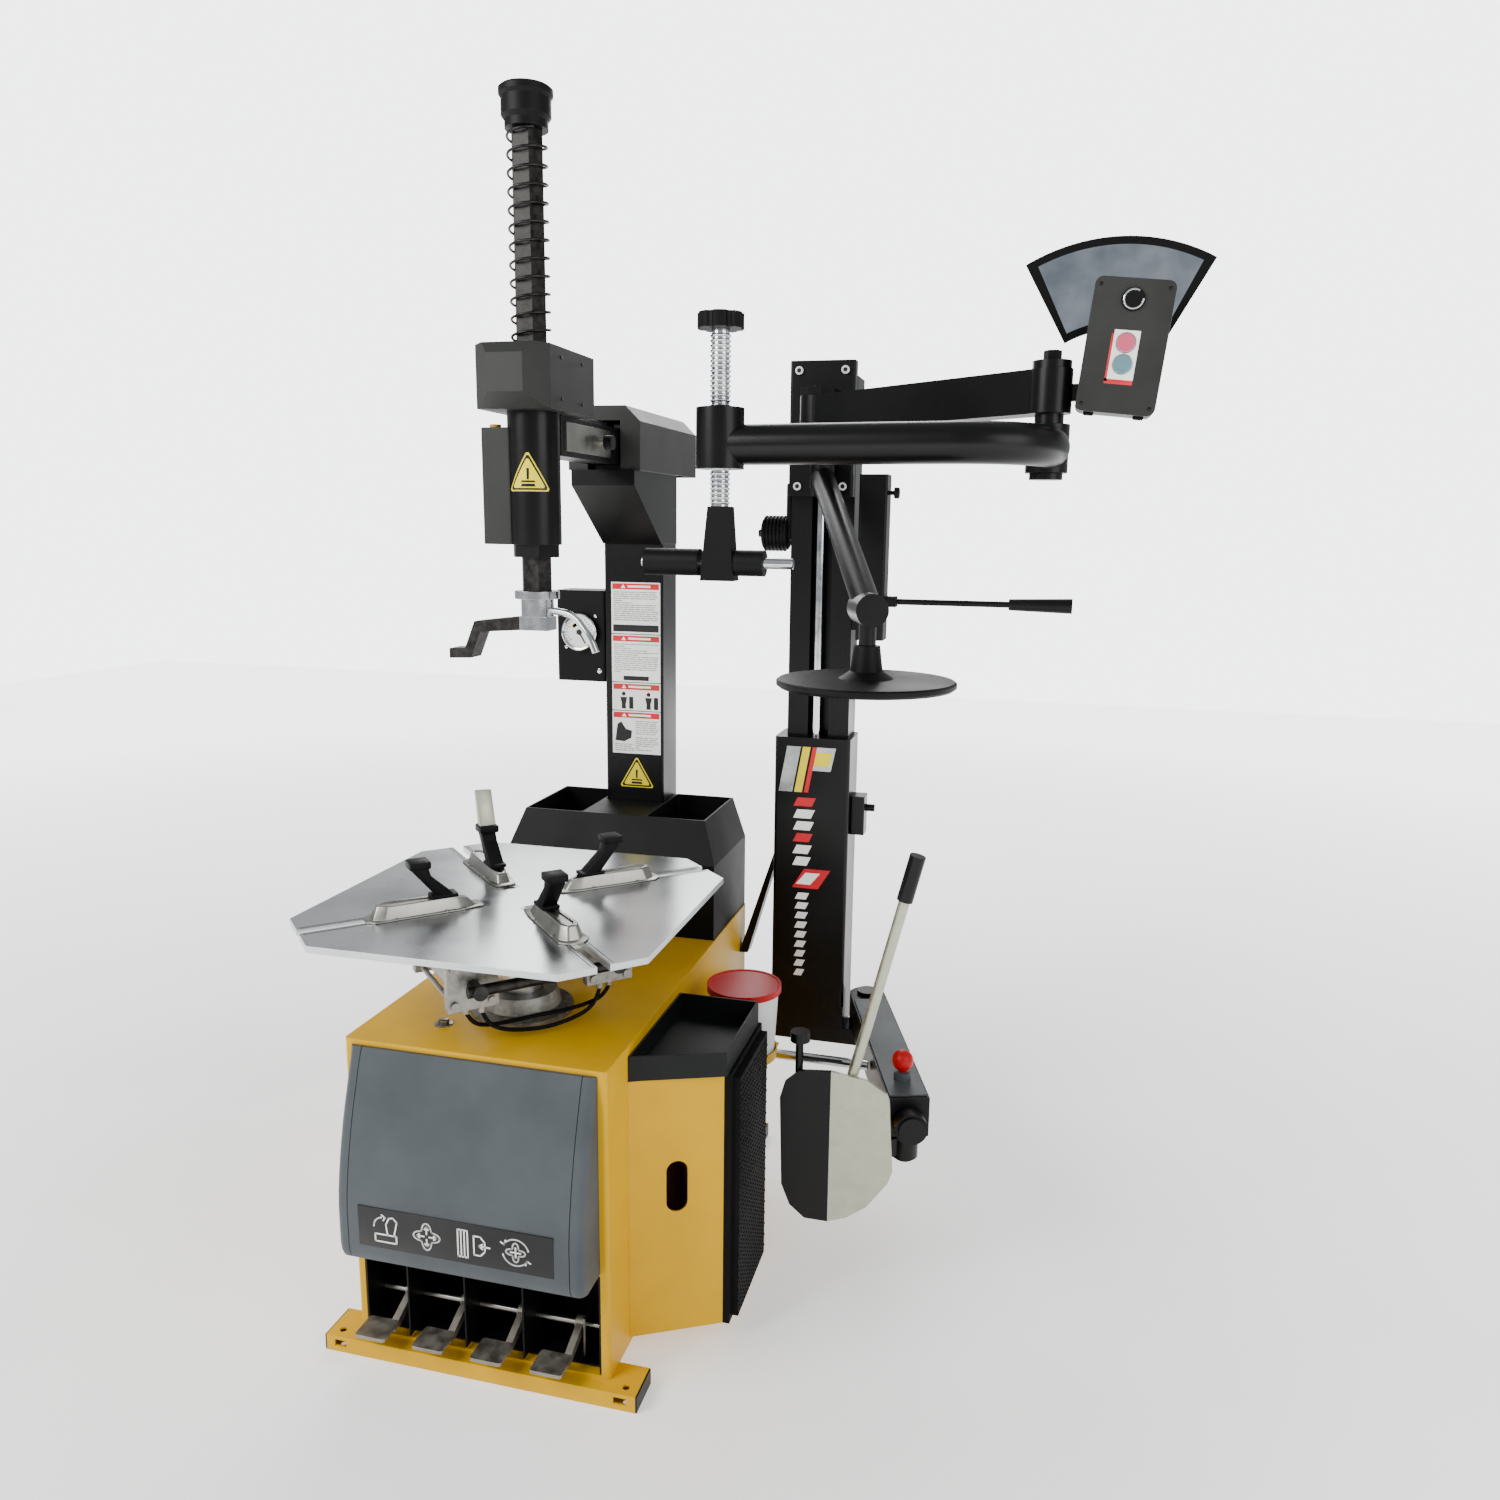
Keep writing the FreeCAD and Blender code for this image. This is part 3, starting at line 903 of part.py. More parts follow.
keep(turned("socket_body",
            [("0", "0"), ("socket_radius", "0"), ("socket_radius", "shaft_low - ring_thick - socket_low"),
             ("ring_radius", "shaft_low - ring_thick - socket_low"),
             ("ring_radius", "shaft_low - socket_low"), ("0", "shaft_low - socket_low")],
            ("0", "shaft_y", "socket_low")), "tool_socket")
foot_top = "socket_low"
keep(pad("foot_blade", "xz",
         [("30", foot_top), ("-30", foot_top), ("-foot_reach - 10", "socket_low - 12"),
          ("-foot_step", "foot_low + 22"), ("-foot_toe", "foot_low + 20"), ("-foot_toe", "foot_low"),
          ("-foot_step + 12", "foot_low + 2"), ("-foot_reach + 2", "socket_low - foot_thick - 6"),
          ("-30", "socket_low - foot_thick"), ("30", "socket_low - foot_thick")],
         "foot_wide", ("0", "shaft_y + foot_wide / 2", "0")), "mount_head")

hook_points = [V(size("socket_radius") - 2, size("shaft_y"), size("socket_low") + 12),
               V(size("socket_radius") + 44, size("shaft_y"), size("socket_low") + 6),
               V(size("socket_radius") + 82, size("shaft_y") - 12, size("socket_low") - 34),
               V(size("socket_radius") + 96, size("shaft_y") - 14, size("socket_low") - 66)]
hook_wire = route(hook_points, easy_bends(hook_points))
hook_shape = pipe(hook_wire, size("hook_rod"))
socket_room = Part.makeCylinder(size("socket_radius"), 100,
                                V(0, size("shaft_y"), size("socket_low") - 40))
keep(shaped("hook_solid", hook_shape.cut(socket_room)), "bead_hook")

# ---- Assist column -----------------------------------------------------------

column_wide = "column_right - column_left"
column_deep = "column_back - column_front"
post_out = slab("column_outside", column_wide, column_deep, "column_top - column_low",
                ("column_left", "column_front", "column_low"), rounding="8")
post_in = block("column_inside", (f"{column_wide} - 2 * column_wall", f"{column_deep} - 2 * column_wall",
                                  "column_top - column_low - 2 * column_wall"),
                ("column_left + column_wall", "column_front + column_wall", "column_low + column_wall"))
lift_hole = rod("column_lift_hole", "lift_radius + lift_gap", "column_wall + 2",
                ("lift_x", "lift_y", "column_top - column_wall - 1"))
keep(cut("column_solid", post_out, post_in, lift_hole), "column_base")
mast = pad("mast_bar", "xy",
           [("mast_left", "mast_front"), ("mast_left + mast_web", "mast_front"),
            ("mast_left + mast_web", "mast_front + groove_deep"),
            ("mast_right - mast_web", "mast_front + groove_deep"), ("mast_right - mast_web", "mast_front"),
            ("mast_right", "mast_front"), ("mast_right", "column_back"), ("mast_left", "column_back")],
           "mast_top - column_top", ("0", "0", "column_top"))
mast_rooms = [block(f"mast_room_{number}", (wide, "column_back - mast_front - 2 * mast_wall",
                                            "mast_top - column_top - 2 * mast_wall"),
                    (left, "mast_front + mast_wall", "column_top + mast_wall"))
              for number, (left, wide) in enumerate((("mast_left + mast_wall", "mast_web - 2 * mast_wall"),
                                                     ("mast_right - mast_web + mast_wall",
                                                      "mast_web - 2 * mast_wall")))]
keep(cut("mast_solid", mast, *mast_rooms), "column_mast")
keep(rod("lift_bar", "lift_radius", "carriage_low - lift_low", ("lift_x", "lift_y", "lift_low")),
     "lift_rod")

carriage_wide = "mast_right - mast_left"
keep(slab("carriage_plate", carriage_wide, "mast_front - carriage_gap - carriage_front",
          "carriage_top - carriage_low", ("mast_left", "carriage_front", "carriage_low"), rounding="6"),
     "carriage")
keep(block("lift_shoe", ("mast_right - mast_left - 2 * mast_web - 8", "groove_deep - 4 + carriage_gap",
                         "60"),
           ("mast_left + mast_web + 4", "mast_front - carriage_gap", "carriage_low")), "lift_shoe")
bolts = []
for column, bolt_x in enumerate(("mast_left + bolt_in", "mast_right - bolt_in")):
    for row, bolt_z in enumerate(("carriage_low + bolt_in", "carriage_top - bolt_in")):
        bolts.append(rod(f"carriage_bolt_{column}_{row}", "bolt_radius", "bolt_high",
                         (bolt_x, "carriage_front - bolt_high", bolt_z), "y"))
keep(join("carriage_bolt_set", *bolts), "carriage_bolts")

keep(block("bracket_beam", ("column_right - cab_wide / 2", "column_back - column_front",
                            "column_low - base_top"),
           ("cab_wide / 2", "column_front", "base_top")), "column_bracket")
brace_points = [("cab_wide / 2", "cab_top - 110"), ("cab_wide / 2 + 22", "cab_top - 110"),
                ("column_left", "column_top - 330"), ("column_left", "column_top - 290")]
keep(pad("brace_bar", "xz", brace_points, "40", ("0", "column_front + 62", "0")), "column_brace")
valve = [slab("valve_body", "34", "50", "96", ("column_right", "column_front + 30", "880"), rounding="4"),
         rod("valve_port", "9", "22", ("column_right + 34", "column_front + 55", "945"), "x")]
keep(join("valve_block_solid", *valve), "valve_block")

# ---- Assist arm: first beam, elbow, bowed tube, press screw -------------------

root_lugs = []
for i, low in enumerate(("beam_low - lug_high - running_gap", "beam_low + beam_high + running_gap")):
    root_lugs.append(pad(f"root_lug_{i}", "xy",
                         [("root_x - joint_radius - 4", "carriage_front"),
                          ("root_x - joint_radius + 2", "root_y - 14"),
                          ("root_x - 14", "root_y - joint_radius + 2"),
                          ("root_x + 14", "root_y - joint_radius + 2"),
                          ("root_x + joint_radius - 2", "root_y - 14"),
                          ("root_x + joint_radius + 4", "carriage_front")],
                         "lug_high", ("0", "0", low)))
root_pin = rod("root_pin", "joint_pin", "beam_high + 2 * lug_high + 10",
               ("root_x", "root_y", "beam_low - lug_high - 5"))
keep(join("arm_root_solid", *root_lugs, root_pin), "arm_root")

beam_length = "sqrt((elbow_x - root_x) ^ 2 + (root_y - elbow_y) ^ 2)"
beam_turn = ((0, 0, -1), "atan((root_y - elbow_y) / (elbow_x - root_x))")
beam_parts = [rod("beam_root", "joint_radius", "beam_high", ("0", "0", "beam_low")),
              rod("beam_end", "joint_radius", "beam_high", (beam_length, "0", "beam_low")),
              block("beam_box", (beam_length, "beam_wide", "beam_high"),
                    ("0", "-beam_wide / 2", "beam_low"))]
beam_hole = rod("beam_hole", "joint_pin + 0.06", "beam_high + 2", ("0", "0", "beam_low - 1"))
beam_room = block("beam_room", (f"{beam_length} - 2 * joint_radius", "beam_wide - 2 * beam_wall",
                                "beam_high - 2 * beam_wall"),
                  ("joint_radius", "-beam_wide / 2 + beam_wall", "beam_low + beam_wall"))
keep(lay(cut("beam_solid", join("beam_body", *beam_parts), beam_hole, beam_room),
         ("root_x", "root_y", "0"), beam_turn), "assist_beam")
pin_low = "press_low - 12"
keep(join("elbow_pin_solid",
          rod("elbow_shaft", "joint_pin", f"beam_low - ({pin_low})", ("elbow_x", "elbow_y", pin_low)),
          rod("elbow_washer", "collar_radius", "12 - running_gap", ("elbow_x", "elbow_y", pin_low)),
          rod("elbow_collar", "collar_radius - 4", "beam_low - (press_low + elbow_high) - running_gap",
              ("elbow_x", "elbow_y", "press_low + elbow_high + running_gap"))), "elbow_pin")
keep(join("elbow_cap_solid",
          rod("elbow_cap_disc", "joint_radius - 3", "14", ("elbow_x", "elbow_y", "beam_low + beam_high")),
          hexagon("elbow_cap_nut", "28", "18", ("elbow_x", "elbow_y", "beam_low + beam_high + 14"))),
     "elbow_cap")

axis = size("tube_axis")
bow = [V(size("elbow_x"), size("elbow_y"), axis), V(size("tube_bow_x"), size("tube_bow_y"), axis),
       V(size("press_x"), size("press_y"), axis)]
bow_wire = route(bow, [size("tube_bend")])
bow_tube = pipe(bow_wire, size("tube_radius")).cut(pipe(bow_wire, size("tube_radius") - size("tube_wall")))
boss = Part.makeCylinder(size("joint_radius"), size("elbow_high"), V(bow[0].x, bow[0].y, size("press_low")))
socket = Part.makeCylinder(size("press_collar"), size("press_high"),
                           V(bow[2].x, bow[2].y, size("press_low")))
pin_hole = Part.makeCylinder(size("joint_pin") + 0.06, 300, V(bow[0].x, bow[0].y, size("press_low") - 50))
screw_hole = Part.makeCylinder(size("screw_radius") + 0.08, 300,
                               V(bow[2].x, bow[2].y, size("press_low") - 50))
keep(shaped("bowed_arm_solid", bow_tube.fuse([boss, socket]).removeSplitter().cut([pin_hole, screw_hole])),
     "bowed_arm")

keep(rod("screw_bar", "screw_radius", "screw_top - screw_low", ("press_x", "press_y", "screw_low")),
     "press_screw")
star = rod("star_disc", "star_radius", "star_high", ("press_x", "press_y", "screw_top"))
notches = []
for i in range(7):
    angle = 360 * i / 7
    notches.append(rod(f"star_notch_{i}", "9", "star_high + 2",
                       (f"press_x + (star_radius + 4) * cos({angle})",
                        f"press_y + (star_radius + 4) * sin({angle})", "screw_top - 1")))
keep(cut("star_solid", star, *notches), "star_knob")

# The press foot is a yoke that carries a roller on the left and a grip on the right.
roller_axis = ("roller_left", "press_y", "roller_axis")
yoke = pad("yoke_block", "xz",
           [("press_x - yoke_wide / 2 + 14", "yoke_top"), ("press_x - yoke_wide / 2", "yoke_low"),
            ("press_x + yoke_wide / 2", "yoke_low"), ("press_x + yoke_wide / 2 - 10", "yoke_top")],
           "yoke_deep", ("0", "press_y + yoke_deep / 2", "0"))
axle_hole = rod("yoke_hole", "axle_thin", "yoke_wide + 20",
                ("press_x - yoke_wide / 2 - 10", "press_y", "roller_axis"), "x")
keep(cut("yoke_solid", yoke, axle_hole), "press_yoke")
keep(rod("roller_axle", "axle_thin", "axle_right - roller_left + 8",
         ("roller_left - 8", "press_y", "roller_axis"), "x"), "roller_axle")
roller = rod("roller_round", "roller_radius", "roller_right - roller_left", roller_axis, "x")
roller_bore = rod("roller_bore", "axle_thin + 0.06", "roller_right - roller_left + 2",
                  ("roller_left - 1", "press_y", "roller_axis"), "x")
keep(cut("roller_solid", roller, roller_bore), "press_roller")
grip_left = "press_x + yoke_wide / 2 + 0.4"
sleeve = rod("sleeve_round", "grip_radius", f"grip_right - ({grip_left})",
             (grip_left, "press_y", "roller_axis"), "x")
sleeve_bore = rod("sleeve_bore", "axle_thin", "200", ("press_x", "press_y", "roller_axis"), "x")
keep(cut("sleeve_solid", sleeve, sleeve_bore), "press_grip")

# ---- Disc arm ----------------------------------------------------------------

disc_lugs = []
for i, low in enumerate(("disc_root_low", "disc_root_low + disc_root_high + lug_high + 0.8")):
    disc_lugs.append(pad(f"disc_lug_{i}", "xy",
                         [("disc_root_x - 26", "carriage_front"), ("disc_root_x - 24", "disc_root_y - 12"),
                          ("disc_root_x - 12", "disc_root_y - 28"),
                          ("disc_root_x + 12", "disc_root_y - 28"),
                          ("disc_root_x + 24", "disc_root_y - 12"), ("disc_root_x + 26", "carriage_front")],
                         "lug_high", ("0", "0", low)))
disc_pin = rod("disc_root_pin", "12", "disc_root_high + 2 * lug_high + 0.8",
               ("disc_root_x", "disc_root_y", "disc_root_low"))
keep(join("disc_root_solid", *disc_lugs, disc_pin), "disc_root")

hub_low = size("disc_root_low") + size("lug_high") + 0.4
hub_middle = hub_low + size("disc_root_high") / 2
disc_start = V(size("disc_root_x"), size("disc_root_y"), hub_middle)
disc_end = V(size("disc_x"), size("disc_y"), size("disc_elbow_high"))
disc_path = disc_end.sub(disc_start)
hub = Part.makeCylinder(28, size("disc_root_high"), V(disc_start.x, disc_start.y, hub_low))
slope = Part.makeCylinder(size("disc_tube") - 3, disc_path.Length, disc_start, disc_path)
elbow_way = V(disc_path.x, disc_path.y, 0).normalize()
elbow = Part.makeCylinder(size("disc_elbow_radius"), 92,
                          disc_end.sub(V(elbow_way).multiply(52)), elbow_way)
over = Part.makeBox(300, 300, 60, V(disc_start.x - 150, disc_start.y - 150,
                                    hub_low + size("disc_root_high")))
under = Part.makeBox(84, 84, 60, V(disc_start.x - 42, disc_start.y - 42, hub_low - 60))
disc_hole = Part.makeCylinder(12.06, 200, V(disc_start.x, disc_start.y, hub_low - 60))
stub = Part.makeCylinder(size("disc_pin"), size("disc_elbow_high") - size("disc_low") - 26,
                         V(disc_end.x, disc_end.y, size("disc_low") + 26))
disc_arm = hub.fuse([slope, elbow, stub]).cut([over, under, disc_hole])
keep(shaped("disc_arm_solid", disc_arm), "disc_arm")
keep(turned("disc_body",
            [("0", "0"), ("disc_radius - 6", "0"), ("disc_radius", "5"), ("disc_radius", "disc_thick - 3"),
             ("disc_radius - 4", "disc_thick"), ("cone_radius + 26", "disc_thick + 2"),
             ("cone_radius + 6", "disc_thick + 16"), ("cone_radius", "disc_thick + cone_high"),
             ("disc_pin + 0.08", "disc_thick + cone_high"), ("disc_pin + 0.08", "25"), ("0", "25")],
            ("disc_x", "disc_y", "disc_low")), "bead_disc")

# ---- Lever box and control lever ----------------------------------------------

lever_face = "lever_box_left + lever_box_wide"
lever_start = f"{lever_face} + lever_hub_radius + 2"
ears = [block(f"lever_ear_{side}", ("2 * lever_hub_radius + 4", "ear_thick", "2 * lever_hub_radius"),
              (f"{lever_face} - 2", ear_y, "lever_high - lever_hub_radius"))
        for side, ear_y in (("front", "lever_y - lever_hub_half - ear_gap - ear_thick"),
                            ("back", "lever_y + lever_hub_half + ear_gap"))]
ear_pin = rod("lever_pin", "lever_pin_radius", "2 * (lever_hub_half + ear_gap + ear_thick)",
              (lever_start, "lever_y - lever_hub_half - ear_gap - ear_thick", "lever_high"), "y")
lever_box = slab("lever_box_body", "lever_box_wide", "lever_box_deep", "lever_box_high",
                 ("lever_box_left", "lever_box_front", "lever_box_low"), rounding="6")
keep(join("lever_box_solid", lever_box, *ears, ear_pin), "lever_box")
keep(block("lever_box_bracket", ("lever_box_left - mast_right", "30", "60"),
           ("mast_right", "mast_front + 4", "lever_box_low + 20")), "lever_box_bracket")
lever_hub = rod("lever_hub", "lever_hub_radius", "2 * lever_hub_half",
                (lever_start, "lever_y - lever_hub_half", "lever_high"), "y")
lever_rod = rod("lever_rod", "lever_radius", "lever_long", (lever_start, "lever_y", "lever_high"), "x")
lever_hole = rod("lever_hole", "lever_pin_radius + 0.06", "2 * lever_hub_half + 2",
                 (lever_start, "lever_y - lever_hub_half - 1", "lever_high"), "y")
keep(cut("lever_solid", join("lever_parts", lever_hub, lever_rod), lever_hole), "control_lever")
keep(taper("lever_grip", "lever_grip_radius - 4", "lever_grip_radius", "lever_grip",
           (f"{lever_start} + lever_long", "lever_y", "lever_high"), "x"), "lever_grip")

# ---- Hand control box and mirror ----------------------------------------------

box_turn = ((0, 1, 0), "panel_box_lean")
box_face_y = "panel_box_y - panel_box_deep / 2"


def on_panel(across, up):
    """The x and z of a point on the leaning face of the hand control box."""
    return (f"panel_box_x + ({across}) * cos(panel_box_lean) + ({up}) * sin(panel_box_lean)",
            f"panel_box_high - ({across}) * sin(panel_box_lean) + ({up}) * cos(panel_box_lean)")


case = pad("panel_case", "xz",
           [("-panel_box_wide / 2", "-panel_box_tall / 2"), ("panel_box_wide / 2", "-panel_box_tall / 2"),
            ("panel_box_wide / 2", "panel_box_tall / 2"), ("-panel_box_wide / 2", "panel_box_tall / 2")],
           "panel_box_deep", ("panel_box_x", "panel_box_y + panel_box_deep / 2", "panel_box_high"),
           box_turn, rounding="panel_box_round")
wells = []
for name, radius, up in (("ring", "ring_button_radius", "ring_button_up"),
                         ("upper", "push_radius", "push_up + push_apart / 2"),
                         ("lower", "push_radius", "push_up - push_apart / 2")):
    button_x, button_z = on_panel("0", up)
    wells.append(rod(f"{name}_well", f"{radius} + 0.4", "push_high + 5",
                     (button_x, f"{box_face_y} - 1", button_z), "y"))
    keep(rod(f"{name}_round", radius, "push_high + 3", (button_x, f"{box_face_y} - push_high", button_z),
             "y"),
         f"{name}_button")
keep(cut("panel_solid_case", case, *wells), "hand_control_box")
panel_arm = block("panel_arm", ("90", "panel_arm_deep", "30"),
                  ("elbow_x + 12", "panel_box_y + panel_box_deep / 2", "beam_low + 24"))
panel_arm_clear = rod("panel_arm_clear", "joint_radius", "60", ("elbow_x", "elbow_y", "beam_low + 10"))
keep(cut("panel_arm_solid", panel_arm, panel_arm_clear), "control_box_bracket")

mirror_stem_y = "panel_box_y + panel_box_deep / 2"
keep(rod("mirror_stem_rod", "9", f"mirror_y - 16 - ({mirror_stem_y})",
         ("mirror_x", mirror_stem_y, "mirror_base + mirror_inner + 14"), "y"),
     "mirror_stem")


def fan(outer_radius, inner_radius, angle, thick, front):
    """A ring sector that stands upright, facing the front."""
    corners = []
    for radius, way in ((outer_radius, -1), (outer_radius, 0), (outer_radius, 1), (inner_radius, 1),
                        (inner_radius, 0), (inner_radius, -1)):
        lean = math.radians(angle) * way
        corners.append(V(size("mirror_x") + radius * math.sin(lean), front,
                         size("mirror_base") + radius * math.cos(lean)))
    edges = [Part.Arc(*corners[0:3]).toShape(), Part.LineSegment(corners[2], corners[3]).toShape(),
             Part.Arc(*corners[3:6]).toShape(), Part.LineSegment(corners[5], corners[0]).toShape()]
    return Part.Face(Part.Wire(edges)).extrude(V(0, thick, 0))


rim_wide = size("mirror_rim")
rim_angle = size("mirror_angle") + math.degrees(rim_wide / size("mirror_radius")) * 1.3
glass = fan(size("mirror_radius"), size("mirror_inner"), size("mirror_angle"), size("mirror_thick") - 4,
            size("mirror_y") + 2)
rim = fan(size("mirror_radius") + rim_wide, size("mirror_inner") - rim_wide, rim_angle,
          size("mirror_thick"), size("mirror_y"))
window = fan(size("mirror_radius") - 4, size("mirror_inner") + 4, size("mirror_angle") - 1, 40,
             size("mirror_y") - 20)
mirror_hub = Part.makeCylinder(7, 24, V(size("mirror_x") - 12, size("mirror_y") - 8.6,
                                         size("mirror_base") + size("mirror_inner") + 14), V(1, 0, 0))
mirror_web = Part.makeBox(24, 8, 30, V(size("mirror_x") - 12, size("mirror_y") - 7,
                                       size("mirror_base") + size("mirror_inner") - 16))
keep(shaped("mirror_rim_solid", rim.cut([glass, window]).fuse([mirror_hub.fuse(mirror_web)]).cut(glass)),
     "mirror_rim")
keep(shaped("mirror_glass_solid", glass), "mirror_glass")

# ---- Bead breaker --------------------------------------------------------------

breaker_turn = ((0, 0, -1), "90 - breaker_angle")
breaker_low = "base_top + running_gap"
beam_top = "base_top + running_gap + breaker_high"


def on_breaker(piece):
    """Pieces of the breaker beam are drawn along +X from its pivot, then swung to their place."""
    return lay(piece, ("breaker_x", "breaker_y", "0"), breaker_turn)


beam_parts = [block("breaker_box", ("breaker_long", "breaker_wide", "breaker_high"),
                    ("0", "-breaker_wide / 2", breaker_low)),
              rod("breaker_round", "breaker_wide / 2", "breaker_high", ("0", "0", breaker_low))]
beam_room = block("breaker_room", ("breaker_long - 110", "breaker_wide - 2 * breaker_wall",
                                   "breaker_high - 2 * breaker_wall"),
                  ("60", "-breaker_wide / 2 + breaker_wall", f"{breaker_low} + breaker_wall"))
beam_bore = rod("breaker_bore", "breaker_pin + 0.08", "breaker_high + 2", ("0", "0", f"{breaker_low} - 1"))
keep(on_breaker(cut("breaker_solid", join("breaker_parts", *beam_parts), beam_room, beam_bore)),
     "breaker_beam")
plate_bar = block("breaker_plate_bar", ("breaker_long - 52", "breaker_wide - 8", "plate_thick"),
                  ("44", "-breaker_wide / 2 + 4", beam_top))
ball_base = rod("ball_base_round", "18", "ball_stem - plate_thick",
                ("ball_along", "0", f"{beam_top} + plate_thick"))
ball_well = rod("ball_well", "ball_neck_radius + 0.06", "ball_sunk + 1",
                ("ball_along", "0", f"{beam_top} + ball_stem - ball_sunk"))
keep(on_breaker(cut("breaker_plate_solid", join("breaker_plate_parts", plate_bar, ball_base), ball_well)),
     "breaker_plate")
keep(on_breaker(join("breaker_end_solid",
                     rod("breaker_end_round", "34", "40", ("breaker_long", "0", f"{breaker_low} + 36"),
                         "x"),
                     rod("breaker_end_disc", "28", "6", ("breaker_long + 40", "0", f"{breaker_low} + 36"),
                         "x"),
                     rod("breaker_blade_pin", "12", "56",
                         ("breaker_long - 26", "0", f"{breaker_low} - 56")),
                     rod("breaker_pin_head", "20", "6",
                         ("breaker_long - 26", "0", f"{breaker_low} - 62")))),
     "breaker_end")
ball = doc.addObject("Part::Sphere", "ball_round")
ball.setExpression("Radius", formula("ball_radius"))
lay(ball, ("ball_along", "0", f"{beam_top} + ball_stem + ball_radius + ball_gap"))
ball_neck = rod("ball_neck", "ball_neck_radius", "ball_sunk + 12",
                ("ball_along", "0", f"{beam_top} + ball_stem - ball_sunk + ball_gap"))
keep(on_breaker(join("ball_solid", ball, ball_neck)), "ball_knob")

keep(join("base_solid",
          block("base_bar", ("breaker_x - cab_wide / 2", "2 * base_half", "base_top - base_low"),
                ("cab_wide / 2", "breaker_y - base_half", "base_low")),
          rod("base_round", "base_half", "base_top - base_low", ("breaker_x", "breaker_y", "base_low")),
          rod("base_pin", "breaker_pin", f"{beam_top} - base_top + running_gap",
              ("breaker_x", "breaker_y", "base_top")),
          rod("base_cap", "breaker_pin + 8", "9", ("breaker_x", "breaker_y", f"{beam_top} + running_gap"))),
     "breaker_bracket")

blade_pivot_x = "breaker_x + (breaker_long - 26) * sin(breaker_angle)"
blade_pivot_y = "breaker_y - (breaker_long - 26) * cos(breaker_angle)"
boss = rod("blade_boss", "28", "54.8", (blade_pivot_x, blade_pivot_y, f"{breaker_low} - 55.4"))
boss_hole = rod("blade_boss_hole", "12.06", "60", (blade_pivot_x, blade_pivot_y, f"{breaker_low} - 58"))
blade_bar = pad("blade_bar", "xy",
                [(f"{blade_pivot_x} - 8", f"{blade_pivot_y} - 20"),
                 (blade_pivot_x, f"{blade_pivot_y} + 20"),
                 ("blade_fold - 20", "blade_y + blade_thick + 34"),
                 ("blade_fold - 20", "blade_y + blade_thick"),
                 ("blade_fold + 40", "blade_y + blade_thick")],
                "40", ("0", "0", f"{breaker_low} - 48"))
keep(cut("blade_arm_solid", join("blade_arm_parts", boss, blade_bar), boss_hole), "blade_arm")
fold_top = "blade_top"
keep(pad("blade_steel", "xz",
         [("blade_fold + 6", fold_top), ("blade_right - 45", "blade_top - 10"),
          ("blade_right - 6", "blade_top - 34"), ("blade_right", "blade_top - 50"),
          ("blade_right + 10", "blade_low + 130"), ("blade_right + 2", "blade_low + 106"),
          ("blade_right - 40", "blade_low + 46"), ("blade_right - 80", "blade_low + 16"),
          ("blade_fold + 6", "blade_low")],
         "blade_thick", ("0", "blade_y + blade_thick", "0")), "breaker_blade")
keep(pad("blade_guard_plate", "xz",
         [("blade_fold + 6", fold_top), ("blade_left + 40", "blade_top - 6"),
          ("blade_left + 10", "blade_top - 34"), ("blade_left", "blade_top - 70"),
          ("blade_left + 6", "blade_low + 70"), ("blade_left + 24", "blade_low + 26"),
          ("blade_left + 56", "blade_low"), ("blade_fold + 6", "blade_low")],
         "blade_thick", ("0", "blade_y + blade_thick", "0")), "blade_guard")
handle_turn = ((0, 1, 0), "handle_lean")
handle_base = ("blade_fold + 40", "blade_y + blade_thick + handle_radius", "blade_top - 40")
keep(rod("handle_bar", "handle_radius", "handle_long", handle_base, handle_turn), "blade_handle")
keep(rod("handle_grip_bar", "handle_grip_radius", "handle_grip",
         (f"{handle_base[0]} + handle_long * sin(handle_lean)", handle_base[1],
          f"{handle_base[2]} + handle_long * cos(handle_lean)"), handle_turn), "handle_grip")
keep(join("latch_solid",
          rod("latch_stem", "8", "70", ("blade_left + 36", "blade_y + blade_thick + 8", "blade_top - 20")),
          rod("latch_knob", "20", "20", ("blade_left + 36", "blade_y + blade_thick + 13",
                                         "blade_top + 50")),
          rod("latch_tie", "4", "tie_long",
              ("blade_left + 36", "blade_y + blade_thick + 8", "blade_top + 16"), "x")),
     "blade_latch")

# ---- Air inlet and hoses ---------------------------------------------------------

inlet = rod("inlet_body", "14", "26", ("cab_wide / 2", "cab_deep / 2 - inlet_in", "cab_top - 150"), "x")
inlet_bore = rod("inlet_bore", "inlet_radius", "27",
                 ("cab_wide / 2", "cab_deep / 2 - inlet_in", "cab_top - 150"), "x")
keep(cut("inlet_solid", inlet, inlet_bore), "air_inlet")

